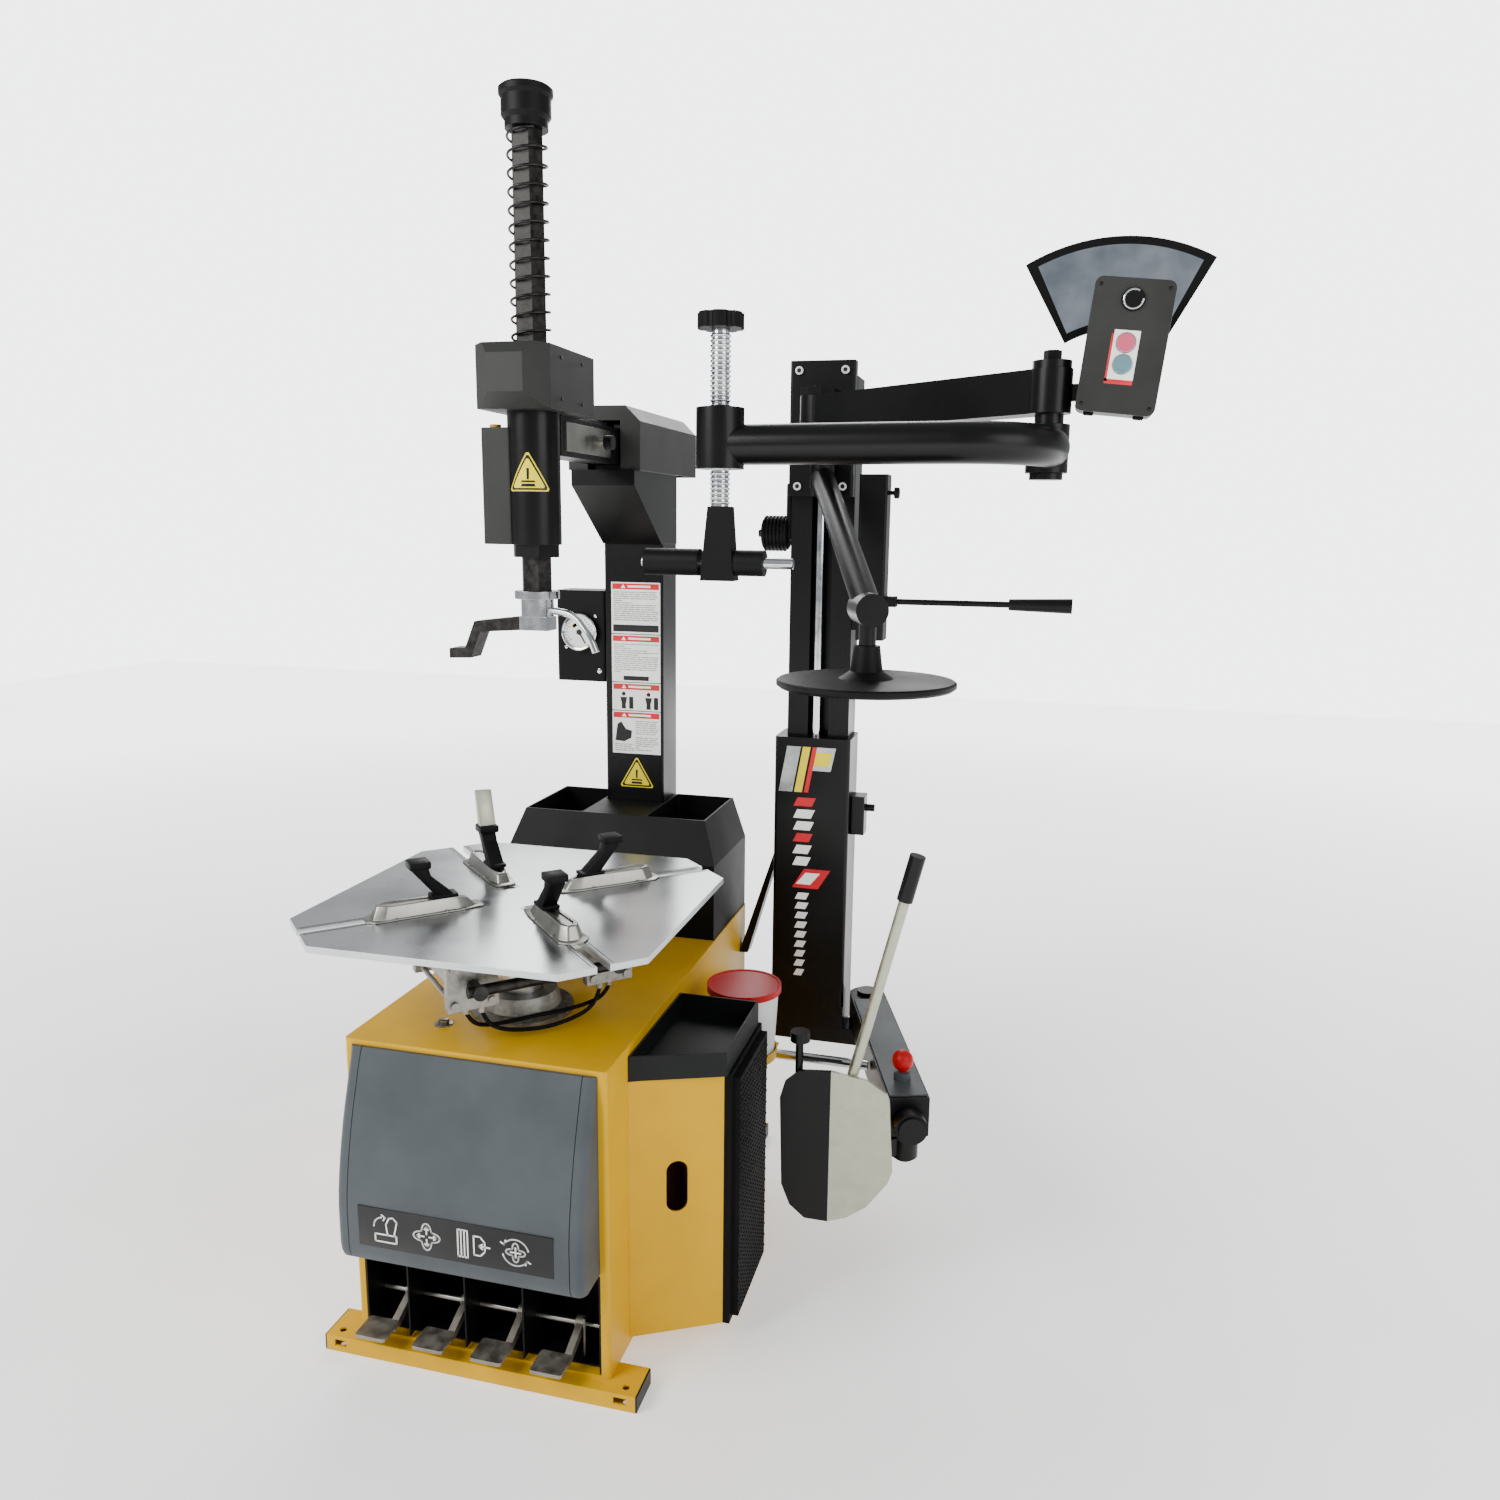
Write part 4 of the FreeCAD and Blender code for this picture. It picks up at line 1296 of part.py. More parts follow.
# Each hose hangs in a loop between the two front heads of the clamp cylinders.
# Its points are (towards the front right, towards the back right, height).
HOSES = {
    "hose_outer": [(114, -118, 722), (117, -112, 702), (123, -88, 683), (130, -46, 675), (134, 2, 672),
                   (131, 48, 676), (124, 90, 684), (117, 113, 703), (114, 119, 722)],
    "hose_inner": [(108, -146, 722), (107, -138, 703), (103, -114, 688), (99, -64, 683), (101, -8, 686),
                   (98, 48, 682), (102, 108, 689), (107, 134, 704), (108, 142, 722)],
}
fittings = []
for name, points in HOSES.items():
    to_front = V(1, -1, 0).normalize()
    to_back = V(1, 1, 0).normalize()
    spots = [V(0, size("table_y"), high).add(V(to_front).multiply(ahead)).add(V(to_back).multiply(across))
             for ahead, across, high in points]
    bends = easy_bends(spots)
    wire = route(spots, bends)
    hose = pipe(wire, size("hose_radius"))
    print(f"{name}: length {wire.Length:.1f}, volume over section "
          f"{hose.Volume / math.pi / size('hose_radius') ** 2:.1f}, radii",
          " ".join(f"{radius:.0f}" for radius in bends))
    keep(shaped(name + "_solid", hose), name)
    for end, spot in enumerate((spots[0], spots[-1])):
        fittings.append(rod(f"{name}_fitting_{end}", "hose_radius + 3",
                            f"cylinder_high - cylinder_head / 2 - {spot.z}",
                            (str(spot.x), str(spot.y), str(spot.z))))
keep(join("hose_fitting_set", *fittings), "hose_fittings")

# ---- Sub-parts and their files -----------------------------------------------------

# Welded, bolted or identical pieces share a node, each as a solid of its own.
SHARED = {
    "cabinet": (*(f"cabinet_{name}" for name in SHEETS), "foot_bar_front", "foot_bar_rear", "tilt_lugs",
                "tilt_pin"),
    "side_box": ("side_box", "bucket_holder"),
    "pedal_bay": ("bay_back", "bay_roof", "bay_floor", *(f"bay_wall_{i}" for i in range(5)),
                  "foot_bar_caps"),
    "pedal_brackets": ("pedal_brackets", "pedal_shaft"),
    "wheel_rest": ("wheel_rest_frame", "wheel_rest_rubber"),
    "turntable": ("turntable", "table_spindle"),
    "clamp_cylinders": ("clamp_cylinder_1", "clamp_cylinder_2", "clamp_heads_1", "clamp_heads_2",
                        "tie_rods_1", "tie_rods_2", "hose_fittings"),
    "drive_unit": ("gearbox", "gearbox_hub", "motor", "bead_cylinder", "tilt_cylinder"),
    "tilt_post": ("tilt_post", "tilt_crank", "head_cheeks", "front_flap", "arm_guide"),
    "gauge_box": ("gauge_box", "pressure_gauge"),
    "slide_arm": ("slide_arm", "arm_stop_knob"),
    "arm_fittings": ("arm_rack", "arm_plate"),
    "shaft_housing": ("shaft_housing", "lock_collar"),
    "head_cover": ("head_cover", "lock_handle"),
    "mount_head": ("tool_socket", "mount_head", "bead_hook"),
    "assist_column": ("column_base", "column_mast", "column_bracket", "column_brace", "valve_block",
                      "breaker_bracket", "lever_box", "lever_box_bracket", "air_inlet"),
    "carriage": ("carriage", "lift_shoe", "arm_root", "disc_root"),
    "lift_rod": ("lift_rod", "carriage_bolts"),
    "assist_beam": ("assist_beam", "elbow_pin", "elbow_cap"),
    "press_screw": ("press_screw", "roller_axle"),
    "press_foot": ("star_knob", "press_yoke", "press_grip"),
    "control_lever": ("control_lever", "lever_grip"),
    "hand_control_box": ("hand_control_box", "control_box_bracket", "mirror_stem"),
    "breaker_beam": ("breaker_beam", "breaker_end"),
    "breaker_blade": ("breaker_blade", "blade_handle"),
    "blade_arm": ("blade_arm", "blade_guard", "blade_latch", "handle_grip"),
}
for spot in JAW_NAMES:
    SHARED[f"jaw_{spot}"] = (f"jaw_carrier_{spot}", f"jaw_hook_{spot}")

nodes = {}
for name, members in SHARED.items():
    group = doc.addObject("Part::Compound", "node_" + name)
    group.Links = [PARTS.pop(member) for member in members]
    group.Label = name
    nodes[name] = group
for name, piece in PARTS.items():
    piece.Label = name
    nodes[name] = piece

doc.recompute()
for item in doc.Objects:
    if "Invalid" in item.State or "Error" in item.State:
        raise RuntimeError(f"{item.Name} failed: {item.State}")
for name, piece in nodes.items():
    if piece.Shape.isNull() or not piece.Shape.isValid():
        raise RuntimeError(f"{name} has no valid shape")

os.makedirs("parts", exist_ok=True)
for name, piece in sorted(nodes.items()):
    piece.Shape.exportStep(f"parts/{name}.step")
print(len(nodes), "sub-parts,", sum(len(piece.Shape.Solids) for piece in nodes.values()), "solids")
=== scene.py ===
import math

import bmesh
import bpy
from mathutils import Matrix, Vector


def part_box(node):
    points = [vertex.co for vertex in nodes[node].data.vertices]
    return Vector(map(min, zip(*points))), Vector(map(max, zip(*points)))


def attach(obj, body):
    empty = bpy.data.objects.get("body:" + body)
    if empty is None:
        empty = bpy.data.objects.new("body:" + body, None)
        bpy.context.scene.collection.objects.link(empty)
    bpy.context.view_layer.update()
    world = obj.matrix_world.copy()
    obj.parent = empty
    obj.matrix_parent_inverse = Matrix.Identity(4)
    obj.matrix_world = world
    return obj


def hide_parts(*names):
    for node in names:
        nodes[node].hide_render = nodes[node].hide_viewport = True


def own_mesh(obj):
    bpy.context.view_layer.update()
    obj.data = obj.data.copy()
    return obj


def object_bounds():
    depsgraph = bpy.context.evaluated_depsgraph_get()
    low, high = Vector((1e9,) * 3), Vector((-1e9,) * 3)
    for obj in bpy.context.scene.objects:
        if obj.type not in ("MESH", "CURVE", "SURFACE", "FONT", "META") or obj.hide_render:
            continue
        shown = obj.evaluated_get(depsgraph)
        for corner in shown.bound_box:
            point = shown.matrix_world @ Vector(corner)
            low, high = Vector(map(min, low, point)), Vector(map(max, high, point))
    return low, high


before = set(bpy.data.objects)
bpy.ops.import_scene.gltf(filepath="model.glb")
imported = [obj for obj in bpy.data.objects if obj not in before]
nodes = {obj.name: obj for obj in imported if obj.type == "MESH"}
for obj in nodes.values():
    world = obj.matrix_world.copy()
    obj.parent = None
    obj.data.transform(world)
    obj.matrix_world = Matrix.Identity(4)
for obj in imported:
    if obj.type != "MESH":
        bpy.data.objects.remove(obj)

# %% [markdown]
# # A tire changer, finished over its CAD frame
# The CAD frame already has every casting, tube, pin and cylinder at its real size. This lesson gives each
# one the surface of its real material, and adds what only the eye meets: labels, pictograms, screws,
# dials, screw threads and wear. Sizes are in millimetres in the text and in metres in the mesh.

MM = 0.001
cad_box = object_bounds()
print("The CAD frame holds", len(nodes), "nodes")

# %% [markdown]
# ## Camera
# A visitor of average height stands at the front left corner and looks slightly down at the machine. A
# camera can be turned by Euler angles or by three axes. The axes are used here, because heading, dip and
# tilt then stay three separate numbers. The lens is a moderate wide angle, about 28 mm on full frame.

# %% Camera
EYE = Vector((980, -2279.5, 1620)) * MM
HEADING, DIP, TILT = (math.radians(angle) for angle in (14.35, 10.98, 0.68))
LENS = 27.67

level = Vector((math.cos(HEADING), math.sin(HEADING), 0))
ahead = Vector((-math.sin(HEADING), math.cos(HEADING), 0))
upright = Vector((0, 0, 1))
gaze = ahead * math.cos(DIP) - upright * math.sin(DIP)
crown = upright * math.cos(DIP) + ahead * math.sin(DIP)
side = level * math.cos(TILT) + crown * math.sin(TILT)
crown = crown * math.cos(TILT) - level * math.sin(TILT)

camera = bpy.data.objects.new("camera", bpy.data.cameras.new("camera"))
camera.data.lens = LENS
camera.data.sensor_width = 36
camera.matrix_world = Matrix.Translation(EYE) @ Matrix((side, crown, -gaze)).transposed().to_4x4()
bpy.context.scene.collection.objects.link(camera)
bpy.context.scene.camera = camera
print("Camera height", round(EYE.z, 2), "m")

# %% [markdown]
# ## Air hoses
# Two soft black hoses carry air between the clamp cylinders under the turntable. Each leaves a fitting
# straight down, swings out in a shallow sagging bow and comes up into the fitting on the other cylinder.
# A NURBS curve suits them: it rounds every turn by itself and keeps the ends vertical. The points are
# given as the frame gives them, along and across the cylinders, and then turned onto the diagonal.

# %% Air hoses
TABLE_AXIS = Vector((0, -275, 0)) * MM
on_diagonal = Matrix.Translation(TABLE_AXIS) @ Matrix.Rotation(math.radians(-45), 4, "Z")
HOSE_THICK = 8 * MM
HOSES = {
    "hose_outer": ([(114, -118, 722), (117, -112, 702), (123, -88, 683), (130, -46, 675), (134, 2, 672),
                    (131, 48, 676), (124, 90, 684), (117, 113, 703), (114, 119, 722)], 0.2818),
    "hose_inner": ([(108, -146, 722), (107, -138, 703), (103, -114, 688), (99, -64, 683), (101, -8, 686),
                    (98, 48, 682), (102, 108, 689), (107, 134, 704), (108, 142, 722)], 0.3202),
}


def smooth_tube(name, points, thick):
    """A round tube along a smooth line with these points as its control points, and that line's points."""
    curve = bpy.data.curves.new(name, "CURVE")
    curve.dimensions = "3D"
    spline = curve.splines.new("NURBS")
    spline.points.add(len(points) - 1)
    for place, point in zip(spline.points, points):
        place.co = (*point, 1)
    spline.order_u = 3
    spline.use_endpoint_u = True
    spline.resolution_u = 10
    line = bpy.data.objects.new(name + "_line", curve)
    path = [vert.co.copy() for vert in bpy.data.meshes.new_from_object(line).vertices]
    curve.bevel_depth = thick / 2
    curve.bevel_resolution = 6
    curve.use_fill_caps = True
    tube = bpy.data.objects.new(name, bpy.data.meshes.new_from_object(line))
    bpy.context.scene.collection.objects.link(tube)
    bpy.data.objects.remove(line)
    return tube, path


hoses = []
for node, (points, length) in HOSES.items():
    points = [on_diagonal @ (Vector(point) * MM) for point in points]
    hose, path = smooth_tube(node + "_line", points, HOSE_THICK)
    hose.data.polygons.foreach_set("use_smooth", [True] * len(hose.data.polygons))
    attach(hose, "table")
    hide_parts(node)
    hoses.append(hose)
    print(node, "is", round(length * 1000), "mm long")

# %% [markdown]
# ## A small kit for materials
# Every finish below is a Principled shader with a few noise textures in front of it. One function turns
# the usual hex colours into the linear values that a shader wants, and one adds a node with its settings
# and links. Patterns read Object coordinates, which are metres on every piece, so a grain of 1.5 mm is a
# noise scale of 1 / 0.0015.

# %% Material kit
def linear(code, alpha=1.0):
    """An sRGB hex colour as linear red, green, blue and alpha."""
    parts = [int(code[place:place + 2], 16) / 255 for place in (1, 3, 5)]
    return (*(part / 12.92 if part <= 0.04045 else ((part + 0.055) / 1.055) ** 2.4 for part in parts), alpha)


def add(tree, kind, links=None, **settings):
    """A node of this kind, with its properties set and its sockets filled by values or by links."""
    made = tree.nodes.new(kind)
    for name, value in settings.items():
        setattr(made, name, value)
    for socket, value in (links or {}).items():
        if isinstance(value, bpy.types.NodeSocket):
            tree.links.new(value, made.inputs[socket])
        else:
            made.inputs[socket].default_value = value
    return made


def grain(tree, size_mm, detail=3.0, stretch=(1, 1, 1)):
    """A noise texture whose grains are about this many millimetres wide."""
    place = add(tree, "ShaderNodeTexCoord").outputs["Object"]
    place = add(tree, "ShaderNodeMapping", {"Vector": place, "Scale": stretch}).outputs["Vector"]
    noise = add(tree, "ShaderNodeTexNoise", {"Vector": place, "Scale": 1 / (size_mm * MM), "Detail": detail})
    return noise.outputs["Fac"]


def spread(tree, factor, low, high, start=0.35, end=0.65):
    """A factor stretched between two values or two colours."""
    ramp = add(tree, "ShaderNodeMapRange", {"Value": factor, "From Min": start, "From Max": end})
    if not isinstance(low, tuple):
        ramp.inputs["To Min"].default_value = low
        ramp.inputs["To Max"].default_value = high
        return ramp.outputs["Result"]
    mix = add(tree, "ShaderNodeMix", {"Factor": ramp.outputs["Result"]}, data_type="RGBA")
    mix.inputs["A"].default_value = low
    mix.inputs["B"].default_value = high
    return mix.outputs["Result"]


def blended(tree, factor, low, high):
    """Two colour sockets or values mixed by a factor."""
    mix = add(tree, "ShaderNodeMix", {"Factor": factor}, data_type="RGBA")
    for socket, value in (("A", low), ("B", high)):
        if isinstance(value, bpy.types.NodeSocket):
            tree.links.new(value, mix.inputs[socket])
        else:
            mix.inputs[socket].default_value = value
    return mix.outputs["Result"]


def worn_edges(tree, radius_mm, amount):
    """How much a spot lies on a sharp outer edge, from 0 to the amount, broken up by a coarse noise."""
    rounded = add(tree, "ShaderNodeBevel", {"Radius": radius_mm * MM}, samples=4).outputs["Normal"]
    flat = add(tree, "ShaderNodeNewGeometry").outputs["Normal"]
    same = add(tree, "ShaderNodeVectorMath", {0: rounded, 1: flat}, operation="DOT_PRODUCT").outputs["Value"]
    edge = spread(tree, same, amount, 0.0, 0.75, 0.97)
    patchy = spread(tree, grain(tree, 9), 0.2, 1.0)
    return add(tree, "ShaderNodeMath", {0: edge, 1: patchy}, operation="MULTIPLY").outputs["Value"]


def new_finish(name):
    """An empty material with a Principled shader, ready for nodes."""
    made = bpy.data.materials.new(name)
    made.use_nodes = True
    return made, made.node_tree, made.node_tree.nodes["Principled BSDF"]


def soft_bump(tree, height, depth_mm, round_mm=0.0):
    """A bump this many millimetres deep, over edges that look rounded by this radius."""
    links = {"Height": height, "Distance": depth_mm * MM}
    if round_mm:
        links["Normal"] = add(tree, "ShaderNodeBevel", {"Radius": round_mm * MM}, samples=4).outputs["Normal"]
    return add(tree, "ShaderNodeBump", links).outputs["Normal"]


print("Yellow powder coat in linear light:", [round(part, 3) for part in linear("#DDAF10")[:3]])

# %% [markdown]
# ## Powder coat
# The cabinet, the post and the arms are welded steel, dusted with dry polyester powder and baked. The
# skin that this leaves flows together with a faint orange peel, about a millimetre and a half wide. It is
# slightly glossy, holds a film of dust in places and wears to a paler tone on its edges. The peel could
# be modelled, but at this depth a bump is enough.

# %% Powder coat
def powder_coat(name, fresh, dusty, edge, rough, wear=0.5, peel_mm=1.5, shine=0.3):
    """A baked powder finish: fresh and dusty tones, a paler worn edge, a peel and a share of gloss."""
    made, tree, shader = new_finish(name)
    tone = spread(tree, grain(tree, 160, 4), linear(dusty), linear(fresh), 0.3, 0.6)
    colour = blended(tree, worn_edges(tree, 2.0, wear), tone, linear(edge))
    tree.links.new(colour, shader.inputs["Base Color"])
    tree.links.new(spread(tree, grain(tree, 240), rough - 0.03, rough + 0.05), shader.inputs["Roughness"])
    tree.links.new(soft_bump(tree, grain(tree, peel_mm, 2), 0.06, 1.5), shader.inputs["Normal"])
    shader.inputs["IOR"].default_value = 1.5
    shader.inputs["Specular IOR Level"].default_value = shine
    return made


yellow_coat = powder_coat("yellow_powder_coat", "#D3A200", "#C99900", "#E6C232", 0.36, 0.3, shine=0.15)
black_coat = powder_coat("black_powder_coat", "#060606", "#090909", "#242525", 0.30, 0.3, shine=0.2)
satin_coat = powder_coat("satin_black_coat", "#0A0A0A", "#0D0D0D", "#303131", 0.40, 0.35, shine=0.18)
print("Powder coats:", yellow_coat.name, black_coat.name, satin_coat.name)

# %% [markdown]
# ## Moulded plastic
# Covers, the tray, the front panel and the knobs are injection-moulded ABS and polypropylene. The steel
# mould is spark-eroded, which prints a fine even grain into the plastic and takes the gloss off. On the
# real parts the grain is about 0.4 mm; it is drawn at 0.8 mm here, so that it shows.

# %% Moulded plastic
def moulded(name, colour, shade, rough, grain_mm=0.8, depth_mm=0.05, wear=0.25, edge=None, shine=0.3):
    """Spark-grained plastic with a slight change of tone over its length."""
    made, tree, shader = new_finish(name)
    tone = spread(tree, grain(tree, 120), linear(shade), linear(colour))
    tone = blended(tree, worn_edges(tree, 1.5, wear), tone, linear(edge or colour))
    tree.links.new(tone, shader.inputs["Base Color"])
    tree.links.new(spread(tree, grain(tree, 200), rough - 0.03, rough + 0.04), shader.inputs["Roughness"])
    tree.links.new(soft_bump(tree, grain(tree, grain_mm, 2), depth_mm, 1.5), shader.inputs["Normal"])
    shader.inputs["IOR"].default_value = 1.49
    shader.inputs["Specular IOR Level"].default_value = shine
    return made


slate_plastic = moulded("slate_abs", "#484D50", "#414649", 0.42, edge="#646B70", shine=0.2)
cover_plastic = moulded("charcoal_cover_abs", "#2C2D2B", "#272826", 0.44, edge="#50524F", shine=0.2)
black_plastic = moulded("black_abs", "#090909", "#070707", 0.48, edge="#323334", shine=0.14)
tray_plastic = moulded("tray_abs", "#111314", "#0D0E0F", 0.5, 1.2, 0.1, edge="#2E3031", shine=0.2)
panel_plastic = moulded("control_box_abs", "#2A2B28", "#222320", 0.4, edge="#6B6C66")
# White polypropylene for the paste bucket; the same finish also paints the highlight on the carriage screw heads.
white_plastic_and_screw_highlight = moulded("white_polypropylene_and_screw_highlight", "#E9EAE8", "#DCDDDB", 0.35, 1.5, 0.03, 0.0)
red_plastic = moulded("red_polypropylene", "#B80A10", "#A8080E", 0.36, 1.5, 0.03, 0.0, shine=0.2)
amber_plastic = moulded("amber_button_abs", "#D99A2C", "#CC8D20", 0.3, 1.5, 0.02, 0.0)
rubber = moulded("black_rubber", "#0A0A0B", "#070708", 0.7, 1.0, 0.12, 0.2, "#1C1D1F", shine=0.12)
print("Plastics:", [item.name for item in bpy.data.materials if item.name.endswith("abs")])

# %% [markdown]
# ## Bare metals
# The turntable is milled plate, the jaws are zinc-plated pressings, the cylinder heads are sand-cast
# aluminium and the rods are hard-chromed. All of them are fully metallic, so only their colour, their
# roughness and their lay tell them apart: long fine lines on milled plate, soft mottling on zinc, pits
# on the casting, and hardly anything on chrome.

# %% Bare metals
def bare_metal(name, colour, shade, rough, grain_mm, depth_mm, stretch=(1, 1, 1), mottle_mm=40, spread_by=0.08):
    """Bare or plated metal with a lay, given by how far its grain is stretched along each axis."""
    made, tree, shader = new_finish(name)
    lay = grain(tree, grain_mm, 4, stretch)
    patches = grain(tree, mottle_mm, 5)
    tone = spread(tree, patches, linear(shade), linear(colour))
    tone = blended(tree, spread(tree, lay, 0.0, 0.35), tone, linear(shade))
    tree.links.new(tone, shader.inputs["Base Color"])
    rough_patches = spread(tree, patches, rough - spread_by, rough + spread_by)
    tree.links.new(rough_patches, shader.inputs["Roughness"])
    tree.links.new(soft_bump(tree, lay, depth_mm, 1.0), shader.inputs["Normal"])
    shader.inputs["Metallic"].default_value = 1.0
    return made


table_steel = bare_metal("milled_steel_plate", "#BFC2C3", "#A9ACAD", 0.25, 1.2, 0.006, (1, 0.02, 1), 240, 0.04)
zinc_steel = bare_metal("zinc_plated_steel", "#A9A8A2", "#8F8E88", 0.34, 2.0, 0.01, mottle_mm=40)
blade_steel = bare_metal("hot_rolled_steel", "#B9BBA9", "#A6A896", 0.46, 3.0, 0.02, mottle_mm=26)
pedal_steel = bare_metal("worn_zinc_pressing", "#A39F94", "#847F75", 0.58, 2.0, 0.02, mottle_mm=24)
handle_steel = bare_metal("satin_steel", "#B9B5A8", "#8E8B80", 0.38, 1.0, 0.02, (1, 1, 0.05), 30)
cast_metal = bare_metal("cast_aluminium", "#A5A39C", "#7C7A74", 0.5, 1.6, 0.18, mottle_mm=12)
chrome = bare_metal("hard_chrome", "#D5D7D9", "#B4B7BA", 0.14, 1.0, 0.004, spread_by=0.04)
dark_steel = bare_metal("blackened_steel", "#3B3A38", "#262524", 0.4, 1.5, 0.04, mottle_mm=16)
print("Metals:", [item.name for item in bpy.data.materials if "steel" in item.name])

# %% [markdown]
# ## Mirror glass
# The mirror is float glass, silvered at the back. Seen from the front it is a nearly perfect grey-blue
# metal under a clear skin, so a smooth metallic shader with a thin coat stands for it.

# %% Mirror glass
mirror_glass, mirror_tree, mirror_shader = new_finish("silvered_glass")
film = grain(mirror_tree, 70, 4)
mirror_tree.links.new(spread(mirror_tree, film, linear("#8D97A3"), linear("#B4BCC6")),
                      mirror_shader.inputs["Base Color"])
mirror_tree.links.new(spread(mirror_tree, film, 0.03, 0.10), mirror_shader.inputs["Roughness"])
mirror_shader.inputs["Metallic"].default_value = 1.0
mirror_shader.inputs["Coat Weight"].default_value = 0.5

# %% [markdown]
# ## Tools for shapes
# Most of what follows is stamped, turned or printed, so five shapes do nearly all of it: a block, a rod, a
# spun profile, a flat plate and a printed stroke. Each one is a small bmesh of its own, made by operators,
# and `piece` joins several of them to one object, each with its own material. Joining loose shapes keeps
# each closed, which boolean work wouldn't promise.

# %% Tools for shapes
def block(low, high, round_by=0.0, segments=2):
    """A box between two corners, with rounded edges."""
    shape = bmesh.new()
    low, high = Vector(low) * MM, Vector(high) * MM
    bmesh.ops.create_cube(shape, size=1)
    bmesh.ops.scale(shape, verts=shape.verts, vec=high - low)
    bmesh.ops.translate(shape, verts=shape.verts, vec=(low + high) / 2)
    if round_by:
        bmesh.ops.bevel(shape, geom=shape.edges[:], offset=round_by * MM, segments=segments, profile=0.5,
                        affect="EDGES", material=-1)
    return shape


def rod(start, end, radius, end_radius=None, sides=24, round_by=0.0):
    """A round bar or cone between two points, with rounded rims."""
    shape = bmesh.new()
    start, end = Vector(start) * MM, Vector(end) * MM
    along = end - start
    place = Matrix.Translation((start + end) / 2) @ along.to_track_quat("Z", "Y").to_matrix().to_4x4()
    far = radius if end_radius is None else end_radius
    bmesh.ops.create_cone(shape, cap_ends=True, segments=sides, radius1=radius * MM, radius2=far * MM,
                          depth=along.length, matrix=place)
    if round_by:
        rims = [edge for edge in shape.edges if any(len(face.verts) == sides for face in edge.link_faces)]
        bmesh.ops.bevel(shape, geom=rims, offset=round_by * MM, segments=2, profile=0.5, affect="EDGES",
                        material=-1)
    return shape


def spun(profile, at, along=(0, 0, 1), steps=48, angle=math.tau):
    """A line of radius and height, spun about an axis through a point."""
    shape = bmesh.new()
    line = [shape.verts.new((radius * MM, 0, high * MM)) for radius, high in profile]
    edges = [shape.edges.new(pair) for pair in zip(line, line[1:])]
    bmesh.ops.spin(shape, geom=line + edges, cent=(0, 0, 0), axis=(0, 0, 1), angle=angle, steps=steps,
                   use_merge=angle == math.tau)
    bmesh.ops.remove_doubles(shape, verts=shape.verts, dist=1e-6)
    bmesh.ops.holes_fill(shape, edges=[edge for edge in shape.edges if edge.is_boundary])
    turn = Vector(along).to_track_quat("Z", "Y").to_matrix().to_4x4()
    bmesh.ops.transform(shape, verts=shape.verts, matrix=Matrix.Translation(Vector(at) * MM) @ turn)
    return shape


PLANES = {"xz": (lambda u, v, at: (u, at, v), (0, 1, 0)), "yz": (lambda u, v, at: (at, u, v), (1, 0, 0)),
          "xy": (lambda u, v, at: (u, v, at), (0, 0, 1))}


def plate(points, at, thick, plane="xz", round_by=0.0):
    """A flat outline in one of three planes, grown along the third axis."""
    shape = bmesh.new()
    spot, way = PLANES[plane]
    face = shape.faces.new([shape.verts.new(Vector(spot(u, v, at)) * MM) for u, v in points])
    grown = bmesh.ops.extrude_face_region(shape, geom=[face])["geom"]
    raised = [item for item in grown if isinstance(item, bmesh.types.BMVert)]
    bmesh.ops.translate(shape, verts=raised, vec=Vector(way) * thick * MM)
    if round_by:
        bmesh.ops.bevel(shape, geom=shape.edges[:], offset=round_by * MM, segments=2, profile=0.5,
                        affect="EDGES", material=-1)
    return shape


def stroke(points, wide, at, thick=0.4, closed=False):
    """A printed line in the xz plane, laid as short straight bars that face -y."""
    shape = bmesh.new()
    points = [Vector((u, at - thick / 2, v)) * MM for u, v in points]
    ends = points[1:] + points[:1] if closed else points[1:]
    for start, end in zip(points, ends):
        along = end - start
        turn = Matrix.Rotation(-math.atan2(along.z, along.x), 4, "Y")
        bar = Matrix.Diagonal((along.length + wide * MM * 0.6, thick * MM, wide * MM, 1))
        bmesh.ops.create_cube(shape, size=1, matrix=Matrix.Translation((start + end) / 2) @ turn @ bar)
    return shape


def moved(shape, place):
    """The same shape, put somewhere else by a matrix."""
    bmesh.ops.transform(shape, verts=shape.verts, matrix=place)
    return shape


def piece(name, shapes, finishes, body, smooth=35):
    """One object from several shapes, each with the number of its finish."""
    whole = bmesh.new()
    for shape, number in shapes:
        bmesh.ops.recalc_face_normals(shape, faces=shape.faces)
        for face in shape.faces:
            face.material_index = number
        loose = bpy.data.meshes.new("loose")
        shape.to_mesh(loose)
        shape.free()
        whole.from_mesh(loose)
        bpy.data.meshes.remove(loose)
    mesh = bpy.data.meshes.new(name)
    whole.to_mesh(mesh)
    whole.free()
    mesh.polygons.foreach_set("use_smooth", [True] * len(mesh.polygons))
    mesh.set_sharp_from_angle(angle=math.radians(smooth))
    for finish in finishes:
        mesh.materials.append(finish)
    made = bpy.data.objects.new(name, mesh)
    bpy.context.scene.collection.objects.link(made)
    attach(made, body)
    print(name, "has", len(mesh.polygons), "faces")
    return made


def arc(middle, radius, start, end, steps=16):
    """Points along an arc, in degrees."""
    turns = [math.radians(start + (end - start) * step / steps) for step in range(steps + 1)]
    return [(middle[0] + radius * math.cos(turn), middle[1] + radius * math.sin(turn)) for turn in turns]


# %% [markdown]
# ## Printed and small finishes
# Stickers are vinyl, printed and laminated, so they are smooth, a little glossy and even in tone. Each
# ink is the moulded finish with nearly no grain. The warning yellow, the silver and the red of the stripes
# differ only in colour.

# %% Printed finishes
def ink(name, colour, shade, rough=0.34):
    """A laminated print."""
    return moulded(name, colour, shade, rough, 3.0, 0.01, 0.0)


